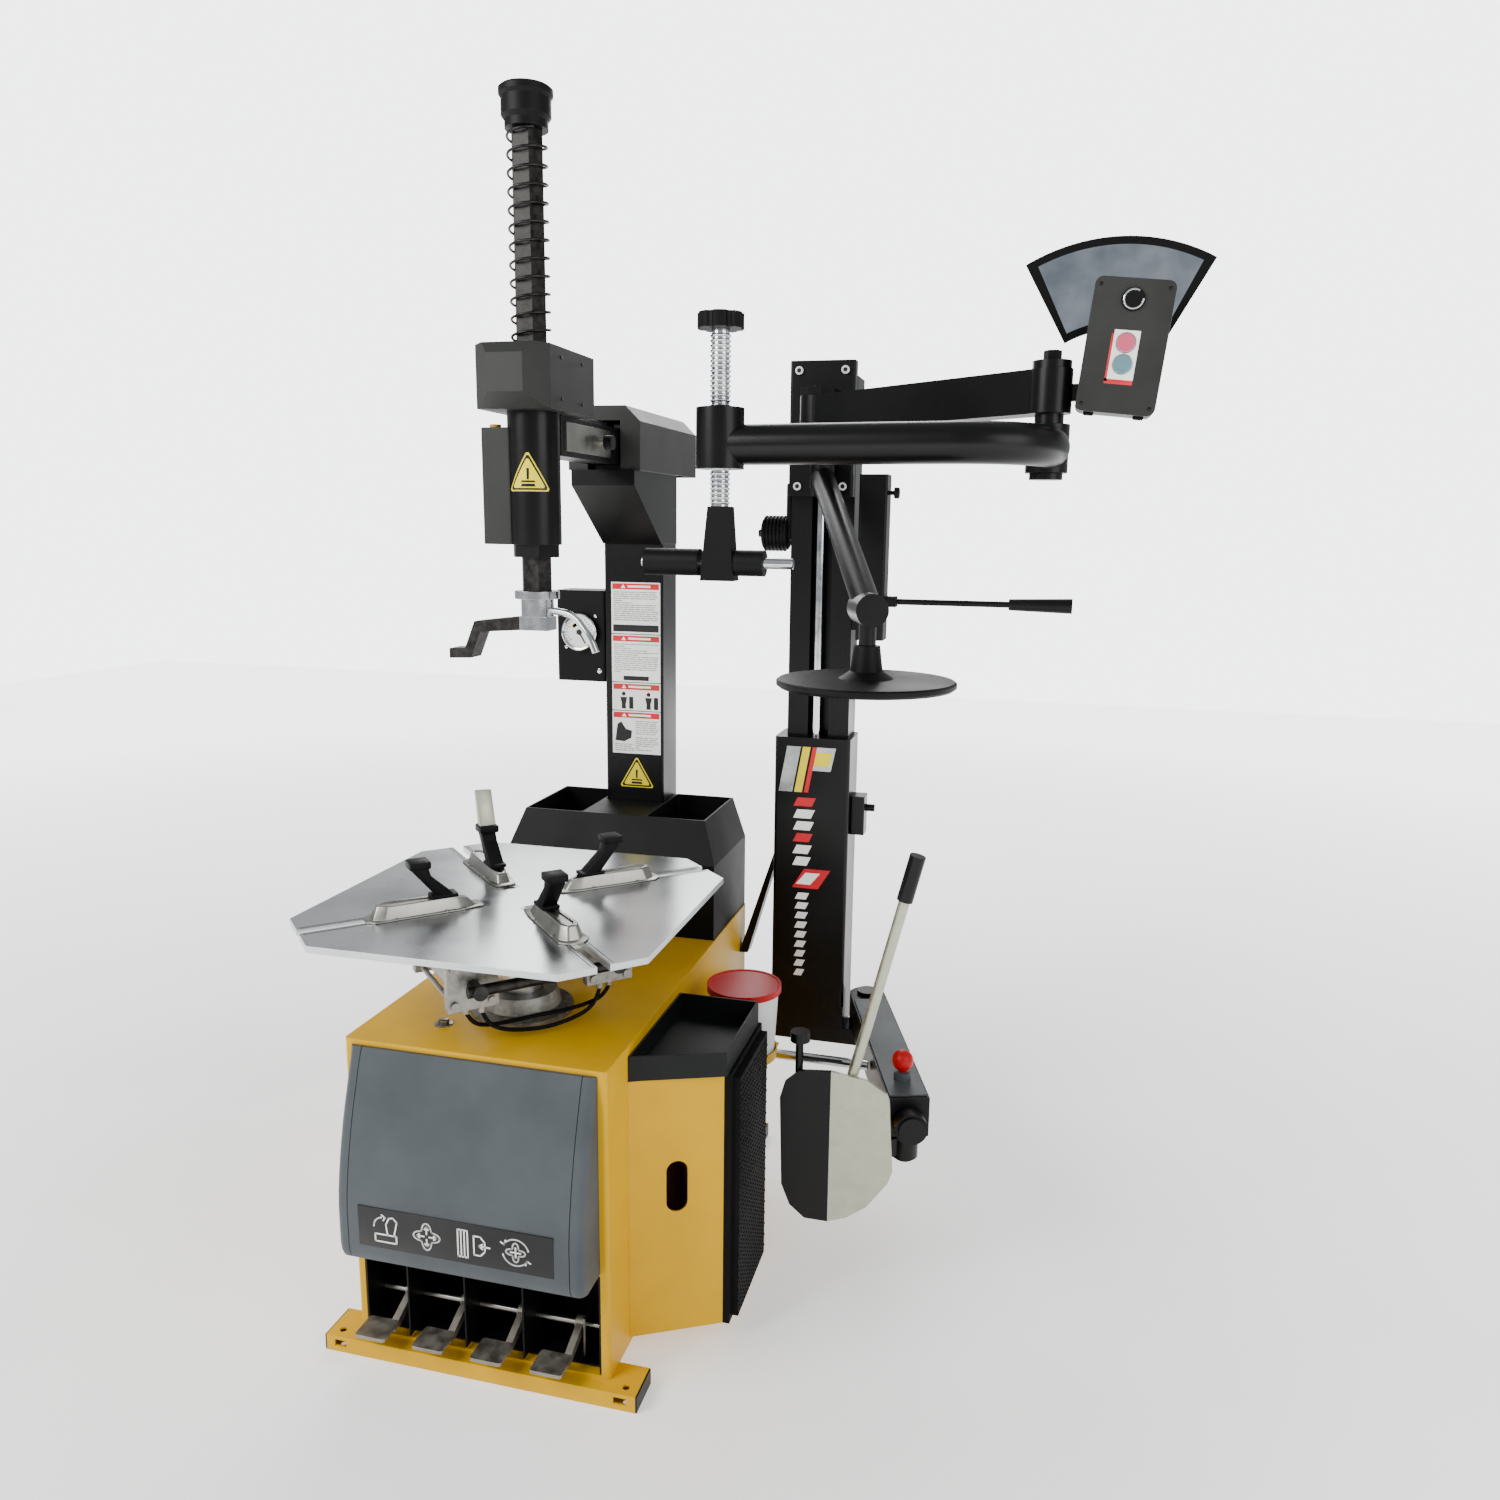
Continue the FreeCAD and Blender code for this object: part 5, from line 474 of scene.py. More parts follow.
white_ink = ink("white_vinyl", "#F1F1EE", "#E3E3DF")
red_ink = ink("red_vinyl", "#C8202A", "#B51B24")
grey_ink = ink("grey_print", "#8A8B8A", "#777877")
black_ink = ink("black_print", "#111111", "#191919")
yellow_ink = ink("yellow_vinyl", "#E7D21B", "#D9C416")
amber_ink = ink("amber_vinyl", "#E3A01E", "#D39018")
pink_ink = ink("pink_print", "#C4566E", "#B1465E")
teal_ink = ink("teal_print", "#5E8088", "#4F7079")
silver_ink = bare_metal("silver_vinyl", "#D4D6D7", "#A8ABAD", 0.34, 4.0, 0.004, mottle_mm=30)
print("Inks:", len([item for item in bpy.data.materials if "vinyl" in item.name or "print" in item.name]))

# %% [markdown]
# ## Front panel
# The bulged grey panel over the pedals is one large ABS moulding. Seen from the side its face is a slow
# curve that hangs over at the foot. A subdivided box would round the foot as much as the top, so the side
# profile is drawn once and extruded over the width. The middle and the two cheeks are extruded apart, which
# leaves the thin shut lines of the moulding, and the cheeks' outer edges are bevelled.

# %% Front panel
PANEL_SIDE = [(-493, 255), (-493, 650), (-500.5, 650), (-509, 630), (-518, 605), (-527, 577), (-536, 550),
              (-545, 520), (-553, 488), (-560.5, 455), (-567, 420), (-571.6, 390), (-574.2, 360),
              (-574.5, 330), (-574.5, 285), (-572.5, 268), (-566, 255)]
PANEL_HALF = 248
SHUT_LINE = 222
SHUT_GAP = 1.6
CHEEK_ROUND = 15

panel_shapes = [(plate(PANEL_SIDE, -SHUT_LINE, 2 * SHUT_LINE, "yz"), 0),
                (block((-SHUT_LINE - 2, -498, 257), (SHUT_LINE + 2, -493, 645)), 0)]
for turn in (1, -1):
    cheek_wide = PANEL_HALF - SHUT_LINE - SHUT_GAP
    cheek = plate(PANEL_SIDE, SHUT_LINE + SHUT_GAP, cheek_wide, "yz")
    rims = [edge for edge in cheek.edges
            if all(abs(vert.co.x - PANEL_HALF * MM) < 1e-5 and vert.co.y < -494 * MM for vert in edge.verts)]
    bmesh.ops.bevel(cheek, geom=rims, offset=CHEEK_ROUND * MM, segments=5, profile=0.5, affect="EDGES",
                    material=-1)
    bmesh.ops.scale(cheek, verts=cheek.verts, vec=(turn, 1, 1))
    panel_shapes.append((cheek, 0))
panel_piece = piece("front_panel_cover", panel_shapes, [slate_plastic], "frame", 24)
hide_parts("front_panel")

# %% [markdown]
# ## Pictogram strip
# A black strip with four white pictograms says what each pedal does: tilt the post, move the jaws, break
# the bead and turn the table. They are drawn here as strokes 3 mm wide on a thin strip, close to how
# such marks are screen-printed.

# %% Pictogram strip
STRIP_FACE = -575.4


def pictogram(middle, marks, wide=2.8):
    """Strokes around a middle point; each is a list of points and whether it closes."""
    across, high = middle
    return [(stroke([(across + u, high + v) for u, v in points], wide, STRIP_FACE, closed=closed), 1)
            for points, closed in marks]


def lobes(radius, depth):
    """A closed outline with four lobes."""
    return [((radius + depth * math.cos(4 * turn)) * math.cos(turn),
             (radius + depth * math.cos(4 * turn)) * math.sin(turn))
            for turn in (math.radians(10 * step) for step in range(36))]


def arrow(start, end, barb):
    """An arrow's shaft and its two barbs."""
    back = math.atan2(start[1] - end[1], start[0] - end[0])
    barbs = [(end[0] + barb * math.cos(back + turn), end[1] + barb * math.sin(back + turn))
             for turn in (0.6, -0.6)]
    return [([start, end], False), ([barbs[0], end, barbs[1]], False)]


box_marks = [([(-22, -26), (22, -26), (22, -11), (-22, -11)], True),
             ([(4, -11), (1, 10), (8, 24), (16, 26), (24, 18), (17, -11)], False),
             (arc((-4, 4), 20, 180, 100, 6), False), ([(-4, 18), (0, 24), (-7, 29)], False)]
jaw_marks = [(lobes(21, 6), True)]
for turn in (0, 90, 180, 270):
    aim = (math.cos(math.radians(turn)), math.sin(math.radians(turn)))
    jaw_marks += arrow((aim[0] * 5, aim[1] * 5), (aim[0] * 20, aim[1] * 20), 7)
tyre_marks = [([(place, -27), (place, 27)], False) for place in (-30, -23.5, -17, -10.5)]
tyre_marks += [([(-30, -27), (-10.5, -27)], False), ([(-30, 27), (-10.5, 27)], False),
               ([(2, -19), (2, 19), (15, 19), (24, 9), (24, -9), (15, -19)], True)]
tyre_marks += arrow((34, 0), (12, 0), 9)
turn_marks = [(lobes(14, 5), True), ([(-10, 0), (10, 0)], False), ([(0, -10), (0, 10)], False),
              (arc((0, 0), 26, 15, 150), False), (arc((0, 0), 26, 195, 330), False),
              ([(-29, 17), (-22, 13), (-19, 22)], False), ([(29, -17), (22, -13), (19, -22)], False)]
strip_shapes = [(block((-200, STRIP_FACE, 291), (193, -573, 372), 0.6), 0)]
for across, marks in ((-143, box_marks), (-58.5, jaw_marks), (35, tyre_marks), (119.5, turn_marks)):
    strip_shapes += pictogram((across, 331), marks)
piece("pictogram_strip", strip_shapes, [black_ink, white_ink], "frame")

# %% [markdown]
# ## Labels on the post
# Four printed labels run down the tilting post, each with a red head and rows of small print, and a yellow
# warning triangle sits below them. The print can't be read at this size, so every word is a plain
# grey bar with its length drawn from a seeded list. The third label shows two plain figures.

# %% Labels on the post
import random

POST_FACE = 387.3
LABEL_LEFT, LABEL_RIGHT = -57, 69
words = random.Random(5)


def printed_rows(top, foot, left, right, pitch=5.2, high=1.9):
    """Rows of grey bars, like small print."""
    rows = []
    level = top
    while level - high > foot:
        across = left
        while across < right - 6:
            word = min(words.uniform(5, 22), right - across)
            rows.append((block((across, POST_FACE - 0.9, level - high), (across + word, POST_FACE - 0.5, level)), 2))
            across += word + 2.4
            if words.random() < 0.05:
                break
        level -= pitch
    return rows


def triangle(middle, side, face, symbol=3):
    """A warning triangle: yellow rim, black line, yellow middle and a plain mark."""
    shapes = []
    for share, number, lift in ((1.0, symbol + 1, 0.0), (0.90, symbol, 0.25), (0.76, symbol + 1, 0.5)):
        radius = side * share / math.sqrt(3)
        points = [(middle[0] + radius * math.cos(turn), middle[1] + radius * math.sin(turn))
                  for turn in (math.radians(angle) for angle in (90, 210, 330))]
        cut = [(a[0] + (b[0] - a[0]) * part, a[1] + (b[1] - a[1]) * part)
               for a, b in zip(points, points[1:] + points[:1]) for part in (0.06, 0.94)]
        shapes.append((plate(cut, face - lift - 0.5, 0.5), number))
    mark = [(-0.03, 0.20), (0.03, 0.20), (0.022, -0.04), (-0.022, -0.04)]
    shapes.append((plate([(middle[0] + u * side, middle[1] + v * side) for u, v in mark], face - 1.3, 0.4), symbol))
    for low, high in ((-0.10, -0.06), (-0.19, -0.13)):
        shapes.append((plate([(middle[0] + u * side, middle[1] + v * side)
                              for u, v in ((-0.16, low), (0.16, low), (0.14, high), (-0.14, high))],
                             face - 1.3, 0.4), symbol))
    return shapes


label_shapes = []
for number, (top, foot) in enumerate(((1483, 1358), (1356, 1239), (1237, 1168), (1166, 1059))):
    label_shapes.append((block((LABEL_LEFT, POST_FACE - 0.6, foot), (LABEL_RIGHT, POST_FACE + 0.2, top)), 0))
    label_shapes.append((block((LABEL_LEFT + 3, POST_FACE - 0.8, top - 17), (LABEL_RIGHT - 3, POST_FACE, top - 3)), 1))
    label_shapes.append((plate([(-32, top - 14), (-20, top - 14), (-26, top - 5)], POST_FACE - 1.0, 0.4), 0))
    label_shapes.append((block((-14, POST_FACE - 1.0, top - 12.5), (44, POST_FACE - 0.6, top - 7.5)), 0))
    if number == 0:
        label_shapes += printed_rows(top - 23, foot + 28, LABEL_LEFT + 6, LABEL_RIGHT - 6)
        label_shapes.append((block((LABEL_LEFT + 4, POST_FACE - 0.8, foot + 5),
                                   (LABEL_RIGHT - 4, POST_FACE, foot + 22)), 3))
    elif number == 1:
        label_shapes += printed_rows(top - 23, foot + 20, LABEL_LEFT + 6, LABEL_RIGHT - 6)
        label_shapes.append((block((LABEL_LEFT + 30, POST_FACE - 0.8, foot + 4),
                                   (LABEL_RIGHT - 30, POST_FACE, foot + 15)), 3))
    elif number == 2:
        for middle in (-27, 38):
            label_shapes.append((rod((middle, POST_FACE - 0.9, foot + 41), (middle, POST_FACE, foot + 41), 5), 3))
            label_shapes.append((plate([(middle - 9, foot + 33), (middle + 9, foot + 33), (middle + 5, foot + 15),
                                        (middle + 6, foot + 4), (middle - 6, foot + 4), (middle - 5, foot + 15)],
                                       POST_FACE - 0.9, 0.5), 3))
            label_shapes.append((block((middle + 14, POST_FACE - 0.9, foot + 4),
                                       (middle + 25, POST_FACE - 0.4, foot + 34)), 3))
    else:
        label_shapes.append((plate([(-50, foot + 32), (-44, foot + 74), (-34, foot + 80), (-22, foot + 62),
                                    (-6, foot + 58), (-8, foot + 40), (-26, foot + 30)], POST_FACE - 0.9, 0.5), 3))
        label_shapes += printed_rows(top - 24, foot + 48, 4, LABEL_RIGHT - 6)
        label_shapes += printed_rows(foot + 42, foot + 4, 4, LABEL_RIGHT - 6)
        label_shapes += printed_rows(foot + 24, foot + 4, LABEL_LEFT + 6, 0)
label_shapes += triangle((6, 1000), 92, POST_FACE)
piece("post_labels", label_shapes, [white_ink, red_ink, grey_ink, black_ink, yellow_ink], "post")

# %% [markdown]
# ## Warning triangle on the shaft housing
# The second triangle is stuck around the round housing. It is made flat, cut into narrow strips by bisect
# planes, and then each vertex is rolled around the housing's axis. A sheet of vinyl bends the
# same way, in one direction only.

# %% Warning triangle on the housing
HOUSING = Vector((0, -160, 0))
HOUSING_RADIUS = 50.2
wrapped_shapes = []
for shape, number in triangle((9, 1706), 88, 0):
    for strip in range(-40, 60, 4):
        bmesh.ops.bisect_plane(shape, geom=shape.verts[:] + shape.edges[:] + shape.faces[:],
                               plane_co=(strip * MM, 0, 0), plane_no=(1, 0, 0))
    for vert in shape.verts:
        reach = HOUSING_RADIUS * MM - vert.co.y
        turn = vert.co.x / (HOUSING_RADIUS * MM)
        vert.co.x = HOUSING.x * MM + reach * math.sin(turn)
        vert.co.y = HOUSING.y * MM - reach * math.cos(turn)
    wrapped_shapes.append((shape, number))
piece("housing_triangle", wrapped_shapes, [white_ink, red_ink, grey_ink, black_ink, yellow_ink], "arm")

# %% [markdown]
# ## Stripes on the assist column
# The column carries a tall decorative sticker. Plain slanted stripes in silver, yellow, red and white stand
# for it: parallelograms, cut like the vinyl itself, in a column that gets narrower towards the foot.

# %% Stripes on the assist column
COLUMN_FACE = 407.3
stripe_shapes = []


def slanted(left, right, foot, top, lean, number):
    """One slanted stripe."""
    outline = [(left, foot), (right, foot), (right + lean, top), (left + lean, top)]
    stripe_shapes.append((plate(outline, COLUMN_FACE - 0.5 - 0.1 * number, 0.5), number))


slanted(366, 400, 985, 1098, 20, 0)
slanted(405, 424, 985, 1098, 20, 1)
slanted(429, 440, 985, 1098, 20, 2)
slanted(445, 494, 1040, 1098, 12, 0)
slanted(450, 490, 1052, 1086, 8, 1)
for step in range(6):
    top = 972 - 30 * step
    slanted(404, 450 - 2 * step, top - 22, top, 10, 3 if step % 3 else 2)
slanted(404, 470, 742, 792, 30, 2)
slanted(414, 450, 752, 782, 24, 3)
for step in range(9):
    top = 730 - 25 * step
    slanted(412, 440 - step, top - 17, top, 8, 3)
piece("column_stripes", stripe_shapes, [silver_ink, yellow_ink, red_ink, white_ink], "frame")

# %% [markdown]
# ## Jaws
# Each jaw is a pressed steel cover over its slide, with a flange all round and a long recess on top that
# stiffens it. A black claw stands on it and grips the rim. The cover starts as the flat plan of the
# pressing; the plan is extruded, its top is drawn in, and an inset makes the recess. One
# jaw is made in its own frame, ahead, across and up, and laid four times.

# %% Jaws
TABLE_TOP = 894
FLANGE = [(80, -20), (118, -26), (284, -29), (300, -14), (300, 14), (284, 29), (118, 26), (80, 20)]
DOME = [(92, -12), (124, -19), (268, -24), (287, -12), (287, 12), (268, 24), (124, 19), (92, 12)]
CLAW = [(132, 30), (166, 30), (210, 84), (212, 104), (184, 104), (176, 72)]
CLAW_HALF = 15
JAWS = {"jaw_front_right": ("jaw_1", -45, 0), "jaw_back_right": ("jaw_2", 45, 0),
        "jaw_back_left": ("jaw_3", 135, 70), "jaw_front_left": ("jaw_4", 225, 0)}


def jaw_dome():
    """The raised middle of a jaw's cover, with its recess."""
    shape = plate(DOME, 3, 25, "xy")
    top = [vert for vert in shape.verts if vert.co.z > 20 * MM]
    bmesh.ops.scale(shape, verts=top, vec=(0.90, 0.72, 1), space=Matrix.Translation(Vector((-190, 0, 0)) * MM))
    nose = [vert for vert in top if vert.co.x < 110 * MM]
    bmesh.ops.translate(shape, verts=nose, vec=(4 * MM, 0, -9 * MM))
    edges = [edge for edge in shape.edges if any(vert.co.z > 15 * MM for vert in edge.verts)]
    bmesh.ops.bevel(shape, geom=edges, offset=3.5 * MM, segments=3, profile=0.5, affect="EDGES", material=-1)
    lid = [max(shape.faces, key=lambda face: face.calc_area() * (face.calc_center_median().z > 20 * MM))]
    bmesh.ops.inset_region(shape, faces=lid, thickness=4 * MM, depth=0)
    bmesh.ops.inset_region(shape, faces=lid, thickness=2.2 * MM, depth=-2.6 * MM)
    return shape


for node, (body, heading, extra) in JAWS.items():
    place = Matrix.Translation(Vector((0, -275, TABLE_TOP)) * MM) @ Matrix.Rotation(math.radians(heading), 4, "Z")
    claw = [(ahead_by + (0.1 * extra if high > 100 else 0), high) for ahead_by, high in CLAW]
    shapes = [(plate(FLANGE, 0.4, 2.8, "xy", 0.8), 0), (jaw_dome(), 0),
              (block((106, -11, -12.4), (270, 11, 0.5)), 0), (block((106, -23, -20.4), (270, 23, -12.4), 1), 0),
              (plate([(u, v) for u, v in claw], -CLAW_HALF, 2 * CLAW_HALF, "xz", 2.0), 1),
              (block((126, -17, 26), (176, 17, 33), 1.5), 1),
              (block((176, -20, 88), (216, 20, 103), 3.0), 1)]
    if extra:
        tall = [(186, 100), (205, 100), (222, 174), (212, 174)]
        shapes.append((plate(tall, -17, 34, "xz", 1.6), 2))
    for ahead_by, across in ((150, 24.5), (246, 26.5), (150, -24.5), (246, -26.5)):
        shapes.append((rod((ahead_by, across, 3), (ahead_by, across, 5.6), 3.2, sides=6, round_by=0.5), 0))
    shapes = [(moved(shape, place), number) for shape, number in shapes]
    jaw = piece(node + "_cover", shapes, [zinc_steel, black_plastic, blade_steel], body)
    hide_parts(node)

# %% [markdown]
# ## Rails on the turntable
# A milled step runs along both sides of each guide groove. Two thin strips per side draw it.

# %% Rails on the turntable
rails = []
for heading in (-45, 45, 135, 225):
    place = Matrix.Translation(Vector((0, -275, TABLE_TOP)) * MM) @ Matrix.Rotation(math.radians(heading), 4, "Z")
    for across in (-20, -14.2, 14.2, 20):
        rails.append((moved(block((62, across - 0.7, -0.2), (410, across + 0.7, 0.28)), place), 0))
piece("table_rails", rails, [dark_steel], "table")

# %% [markdown]
# ## Pressure gauge
# The gauge on the post's side box has a chrome bezel, a white dial with an amber band, ticks and a
# needle. The bezel is a spun profile, because a lathe or a spinning press makes the real one.

# %% Pressure gauge
GAUGE = (-141, 383.4, 1358)
face_front = GAUGE[1] - 1.2
gauge_shapes = [(spun([(37, 0), (39, 4.5), (43, 6), (46, 4), (46, -3), (37, -3), (37, 0)], GAUGE, (0, -1, 0), 64), 0),
                (rod((GAUGE[0], face_front, GAUGE[2]), (GAUGE[0], GAUGE[1], GAUGE[2]), 38, sides=48), 1),
                (rod((GAUGE[0], face_front - 3, GAUGE[2]), (GAUGE[0], GAUGE[1], GAUGE[2]), 7, sides=20, round_by=1), 3)]
for step in range(21):
    turn = 220 - 13 * step
    long = 26 if step % 5 == 0 else 30
    mark = [arc(GAUGE[::2], reach, turn, turn, 1)[0] for reach in (long, 35)]
    gauge_shapes.append((stroke(mark, 1.4, face_front), 3))
gauge_shapes.append((stroke(arc(GAUGE[::2], 20, 140, 30), 8, face_front), 2))
gauge_shapes.append((stroke([GAUGE[::2], arc(GAUGE[::2], 31, 300, 300, 1)[0]], 3.2, face_front - 1.2), 3))
for turn in (45, 135, 225, 315):
    across, high = arc(GAUGE[::2], 55, turn, turn, 1)[0]
    gauge_shapes.append((rod((across, 391.5, high), (across, 395.8, high), 4.4, sides=12, round_by=0.8), 0))
gauge_shapes.append((rod((-92, 391, 1262), (-92, 395.8, 1262), 7, sides=6, round_by=0.8), 0))
piece("pressure_gauge", gauge_shapes, [chrome, white_ink, amber_ink, black_ink], "post")

# %% [markdown]
# ## Hand-control box
# The box leans six degrees, so its trim is made upright around its centre and turned with one matrix: a
# white label behind the two push buttons, an open chrome ring on the upper button, two rubber feet and
# the pale strip where the two halves of the housing meet.

# %% Hand-control box
lean = Matrix.Translation(Vector((1083, -80, 1935)) * MM) @ Matrix.Rotation(math.radians(6), 4, "Y")
box_trim = [(block((-22, -0.5, -56), (22, 0.3, 27), 0.2), 0), (block((-26, -0.3, -64), (22, 0.3, -55), 0.1), 1),
            (block((-26, -0.3, -60), (-21, 0.3, 20), 0.1), 1),
            (block((66.5, 6, -98), (68.6, 26, 98), 0.9), 2),
            (block((-52, 14, -118), (-34, 34, -112), 2), 3), (block((34, 14, -118), (52, 34, -112), 2), 3)]
for up in (6, -30):
    box_trim.append((spun([(15.8, 0.2), (15.8, 0.9), (17.6, 0.9), (17.6, 0.2), (15.8, 0.2)], (0, 0, up), (0, -1, 0), 36), 2))
for across in (-58, 58):
    for up in (-100, 100):
        box_trim.append((rod((across, -1.2, up), (across, 0.4, up), 3.4, sides=10, round_by=0.5), 4))
piece("control_box_trim", [(moved(shape, lean), number) for shape, number in box_trim],
      [white_ink, red_ink, silver_ink, rubber, dark_steel], "arm_inner")
loop = spun([(16 + 1.9 * math.cos(turn), 1.9 * math.sin(turn)) for turn in
             (math.radians(40 * step) for step in range(10))], (0, 0, 0), (0, -1, 0), 40, math.radians(305))
bmesh.ops.rotate(loop, verts=loop.verts, cent=(0, 0, 0), matrix=Matrix.Rotation(math.radians(-60), 3, "Y"))
ring_front = (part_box("ring_button")[0][1] * 1000 + 80)
bmesh.ops.translate(loop, verts=loop.verts, vec=(0, ring_front * MM, 78 * MM))
piece("ring_button_loop", [(moved(loop, lean), 0)], [chrome], "key_ring")

# %% [markdown]
# ## Press screw
# The press arm's screw is a chromed bar with a round thread. A true helix has a seam where its turns start
# and stop; rings at the thread's pitch look the same from every side and close by
# themselves, so the ridges are part of one spun profile. The bar also carries the roller's axle.

# %% Press screw
SCREW = (383, -192.5)
PITCH = 8.6
screw_line = [(0, 1655), (16.4, 1655)]
for turn in range(35):
    foot = 1659 + PITCH * turn
    screw_line += [(16.4, foot), (18.8, foot + 1.9), (18.9, foot + 3.6), (16.4, foot + 5.4)]
screw_line += [(16.4, 1966), (0, 1966)]
screw = piece("press_screw_thread", [(spun(screw_line, (*SCREW, 0), steps=32), 0),
                                     (rod((232, SCREW[1], 1553), (524, SCREW[1], 1553), 10, round_by=1.5), 0)],
              [chrome], "press", 50)
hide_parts("press_screw")

# %% [markdown]
# ## Return spring
# The open coil spring around the hexagonal shaft closes as the shaft is pushed down, and a stiff copy would pass
# through the knob. The frame's coil is copied and welded.

# %% Return spring
welded = bmesh.new()
welded.from_mesh(nodes["shaft_spring"].data)
bmesh.ops.remove_doubles(welded, verts=welded.verts, dist=1e-6)
spring = piece("return_spring", [(welded, 0)], [dark_steel], "arm", 60)
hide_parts("shaft_spring")
low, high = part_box("shaft_spring")
print("The spring is", round((high.z - low.z) * 1000), "mm long")
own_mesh(spring)

# %% [markdown]
# ## Bolts, screws and small fittings
# Hexagon bolts with washers, socket screws whose heads carry a white ring as a painted highlight, and a small clamp
# knob finish the steelwork.

# %% Bolts and small fittings
def bolt(at, along, across, high, washer=True):
    """A hexagon head on a washer; its faces are what a spanner grips."""
    at, along = Vector(at), Vector(along)
    parts = [rod(at + along * 2, at + along * (2 + high), across / 1.732, sides=6, round_by=0.8)]
    if washer:
        parts.append(rod(at, at + along * 2, across * 0.95, sides=24, round_by=0.5))
    return parts


frame_bolts = []
for at, along, across, high in (((-114, -387, 660), (0, 0, 1), 19, 8), ((200, 250, 660), (0, 0, 1), 13, 5),
                                ((-200, 120, 660), (0, 0, 1), 13, 5), ((-265, 0, 130), (-1, 0, 0), 13, 5),
                                ((-265, -300, 130), (-1, 0, 0), 13, 5), ((-265, 300, 130), (-1, 0, 0), 13, 5),
                                ((-265, -300, 600), (-1, 0, 0), 13, 5), ((-265, 300, 600), (-1, 0, 0), 13, 5),
                                ((-180, 492.5, 130), (0, 1, 0), 13, 5), ((180, 492.5, 130), (0, 1, 0), 13, 5),
                                ((-180, 492.5, 590), (0, 1, 0), 13, 5), ((180, 492.5, 590), (0, 1, 0), 13, 5)):
    frame_bolts += [(shape, 0) for shape in bolt(at, along, across, high)]
frame_bolts.append((rod((610, 430, 1699), (628, 430, 1699), 5, sides=12), 1))
frame_bolts.append((rod((622, 430, 1699), (634, 430, 1699), 13, sides=12, round_by=2), 1))
piece("frame_bolts", frame_bolts, [zinc_steel, black_plastic], "frame")
# The white ring on each socket screw head is a painted highlight; the black hexagon inside it is the socket.
rings = []
for across in (402, 508):
    for high in (1712, 1968):
        rings.append((spun([(5.2, 0), (5.2, 1.2), (9.2, 1.2), (9.2, -3), (5.2, -3), (5.2, 0)], (across, 389, high),
                           (0, -1, 0), 28), 0))
        rings.append((rod((across, 388.6, high), (across, 389.5, high), 5.2, sides=6), 1))
piece("carriage_screws", rings, [white_plastic_and_screw_highlight, black_ink], "lift")
head_screws = []
for at in ((70, -90, 1850), (70, -190, 1850), (70, -90, 1925), (70, -190, 1925)):
    head_screws += [(shape, 0) for shape in bolt(at, (1, 0, 0), 7, 2.4, False)]
piece("head_screws", head_screws, [dark_steel], "arm")

# %% [markdown]
# ## Wheel rest studs
# The rubber pad that the tyre leans on has rows of small studs, for grip. Each stud is a six-sided cone of
# seven faces, because there are hundreds of them.

# %% Wheel rest studs
PAD_FACE = 459
STUD_PITCH = 13
studs = bmesh.new()
for column in range(17):
    for row in range(39):
        shift = STUD_PITCH / 2 if row % 2 else 0
        at = Vector((PAD_FACE + 0.7, -281 + STUD_PITCH * column + shift - 4, 66 + STUD_PITCH * row)) * MM
        bmesh.ops.create_cone(studs, cap_ends=True, segments=6, radius1=3.4 * MM, radius2=1.8 * MM,
                              depth=2.2 * MM, matrix=Matrix.Translation(at) @ Matrix.Rotation(math.pi / 2, 4, "Y"))
piece("wheel_rest_studs", [(studs, 0)], [rubber], "frame", 20)

# %% [markdown]
# ## Balance reel on the carriage
# A ribbed black drum hangs at the carriage's left side on a bracket and carries part of the arms' weight. The
# ribs are part of one spun profile, as on the moulded original.

# %% Balance reel
reel_line = [(0, 0), (34, 0), (38, 3)]
for rib in range(6):
    reel_line += [(38, 4 + 9 * rib), (42, 5 + 9 * rib), (42, 9 + 9 * rib), (38, 10 + 9 * rib)]
reel_line += [(38, 60), (30, 64), (0, 64)]
reel = [(spun(reel_line, (308, 458, 1604), (1, 0, 0), 48), 0), (block((366, 440, 1590), (379, 476, 1720), 3), 0),
        (rod((296, 458, 1604), (380, 458, 1604), 9, sides=20, round_by=1), 1)]
piece("balance_reel", reel, [black_plastic, dark_steel], "lift")

# %% [markdown]
# ## A finish for each node
# The frame's own parts keep their shape and only change their material.

# %% A finish for each node
FINISHES = {
    yellow_coat: "cabinet side_box",
    black_coat: "tilt_post shaft_housing assist_column carriage assist_beam bowed_arm disc_arm blade_arm",
    satin_coat: "slide_arm breaker_beam control_lever pedal_bay",
    cover_plastic: "rear_cover head_cover",
    black_plastic: "post_hood gauge_box shaft_knob press_foot press_roller bead_disc ring_button",
    tray_plastic: "tool_tray",
    panel_plastic: "hand_control_box",
    white_plastic_and_screw_highlight: "paste_bucket",
    red_plastic: "bucket_lid ball_knob",
    pink_ink: "upper_button",
    teal_ink: "lower_button",
    amber_plastic: "lock_button",
    rubber: "wheel_rest mirror_rim",
    table_steel: "turntable",
    pedal_steel: "pedal_1 pedal_2 pedal_3 pedal_4",
    zinc_steel: "pedal_brackets jaw_front_left jaw_front_right jaw_back_left "
                "jaw_back_right arm_fittings",
    blade_steel: "breaker_blade",
    cast_metal: "clamp_cylinders drive_unit",
    chrome: "tilt_rod bead_piston lift_rod press_screw",
    dark_steel: "hexagonal_shaft clamp_rods mount_head",
    slate_plastic: "front_panel breaker_plate",
    mirror_glass: "mirror_glass",
}
for finish, names in FINISHES.items():
    for name in names.split():
        mesh = nodes[name].data
        mesh.materials.clear()
        mesh.materials.append(finish)
for hose in hoses:
    hose.data.materials.append(rubber)

head = nodes["mount_head"].data
head.materials.append(chrome)
for polygon in head.polygons:
    middle = polygon.center
    polygon.material_index = int((middle.xy - Vector((0, -0.160))).length < 0.047 and middle.z > 1.408 or middle.x > 0.047)
print("Finished", sum(len(names.split()) for names in FINISHES.values()), "nodes")

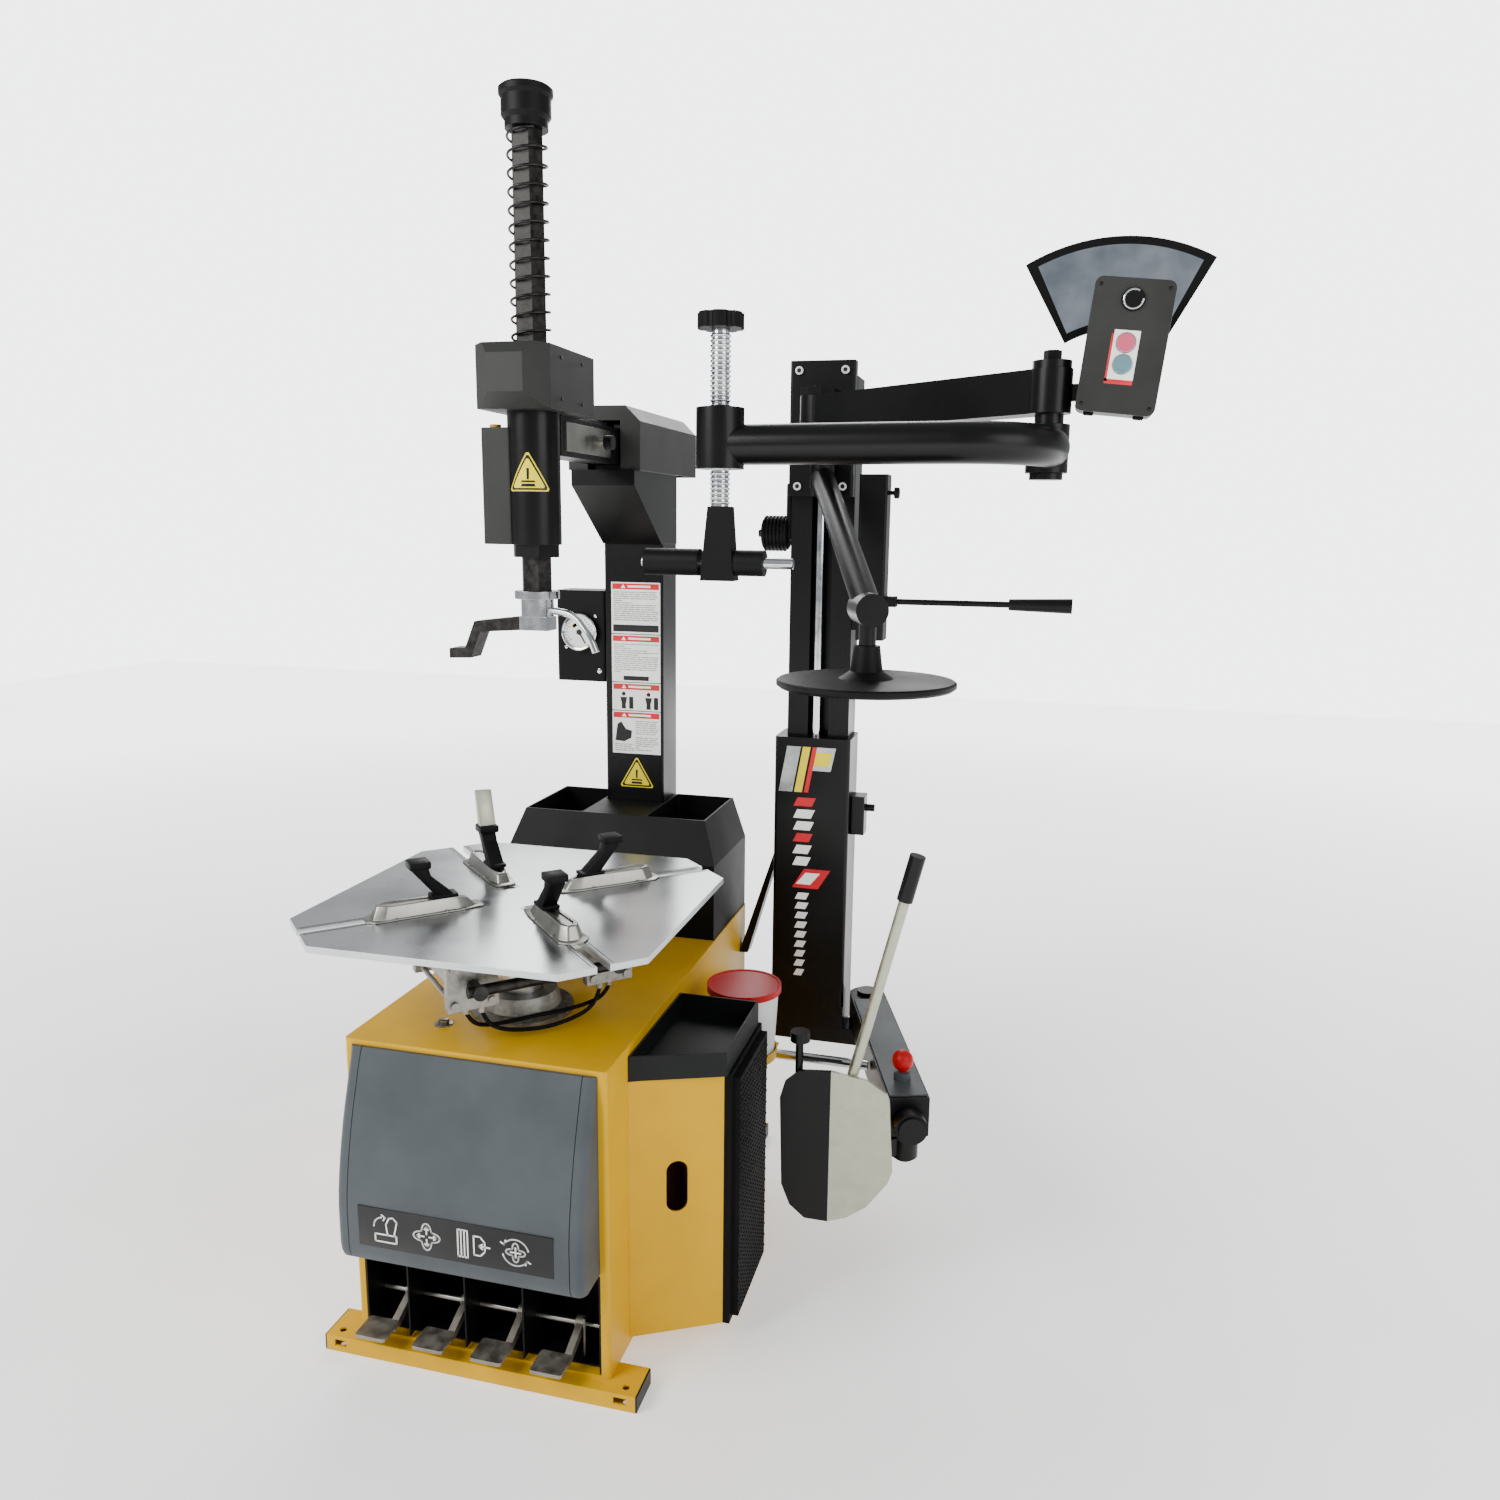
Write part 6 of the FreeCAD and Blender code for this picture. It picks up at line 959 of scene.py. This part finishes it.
# %% [markdown]
# ## Studio
# A pale seamless floor and three large soft lamps: a key from the front left, a broad fill from the right
# and a strip from behind that draws a line of light along the black tubes.

# %% Studio
floor_mesh = bpy.data.meshes.new("floor")
sheet = bmesh.new()
bmesh.ops.create_grid(sheet, x_segments=1, y_segments=1, size=9)
bmesh.ops.translate(sheet, verts=sheet.verts, vec=(0, 0, cad_box[0][2] - 0.0005))
sheet.to_mesh(floor_mesh)
sheet.free()
floor = bpy.data.objects.new("floor", floor_mesh)
bpy.context.scene.collection.objects.link(floor)
floor_paint, floor_tree, floor_shader = new_finish("pale_floor_paint")
floor_tone = spread(floor_tree, grain(floor_tree, 600), linear("#EFEFED"), linear("#F6F6F5"))
floor_tree.links.new(floor_tone, floor_shader.inputs["Base Color"])
floor_shader.inputs["Roughness"].default_value = 0.75
floor_shader.inputs["Emission Color"].default_value = linear("#FFFFFF")
away = add(floor_tree, "ShaderNodeVectorMath", {0: add(floor_tree, "ShaderNodeTexCoord").outputs["Object"]},
           operation="LENGTH").outputs["Value"]
floor_tree.links.new(spread(floor_tree, away, 0.5, 3.2, 1.2, 7.0), floor_shader.inputs["Emission Strength"])
floor_mesh.materials.append(floor_paint)

SKY_LIGHT, SKY_SEEN = 0.6, 4.5
LAMPS = {
    "key": ((-2.2, -3.0, 3.4), (0.1, -0.1, 0.9), 2.2, 190),
    "fill": ((3.6, -2.0, 2.6), (0.4, 0.0, 1.0), 2.4, 70),
    "rim": ((-0.6, 3.2, 3.2), (0.3, 0.2, 1.3), 2.6, 120),
}
for name, (place, target, wide, watts) in LAMPS.items():
    lamp = bpy.data.objects.new(name + "_lamp", bpy.data.lights.new(name + "_lamp", "AREA"))
    lamp.data.size = wide
    lamp.data.energy = watts
    aim = (Vector(target) - Vector(place)).to_track_quat("-Z", "Y")
    lamp.matrix_world = Matrix.Translation(Vector(place)) @ aim.to_matrix().to_4x4()
    bpy.context.scene.collection.objects.link(lamp)

world = bpy.data.worlds.new("studio")
world.use_nodes = True
sky = world.node_tree.nodes["Background"]
sky.inputs["Color"].default_value = linear("#F8FAFC")
seen = add(world.node_tree, "ShaderNodeLightPath").outputs["Is Camera Ray"]
world.node_tree.links.new(spread(world.node_tree, seen, SKY_LIGHT, SKY_SEEN, 0.0, 1.0), sky.inputs["Strength"])
bpy.context.scene.world = world
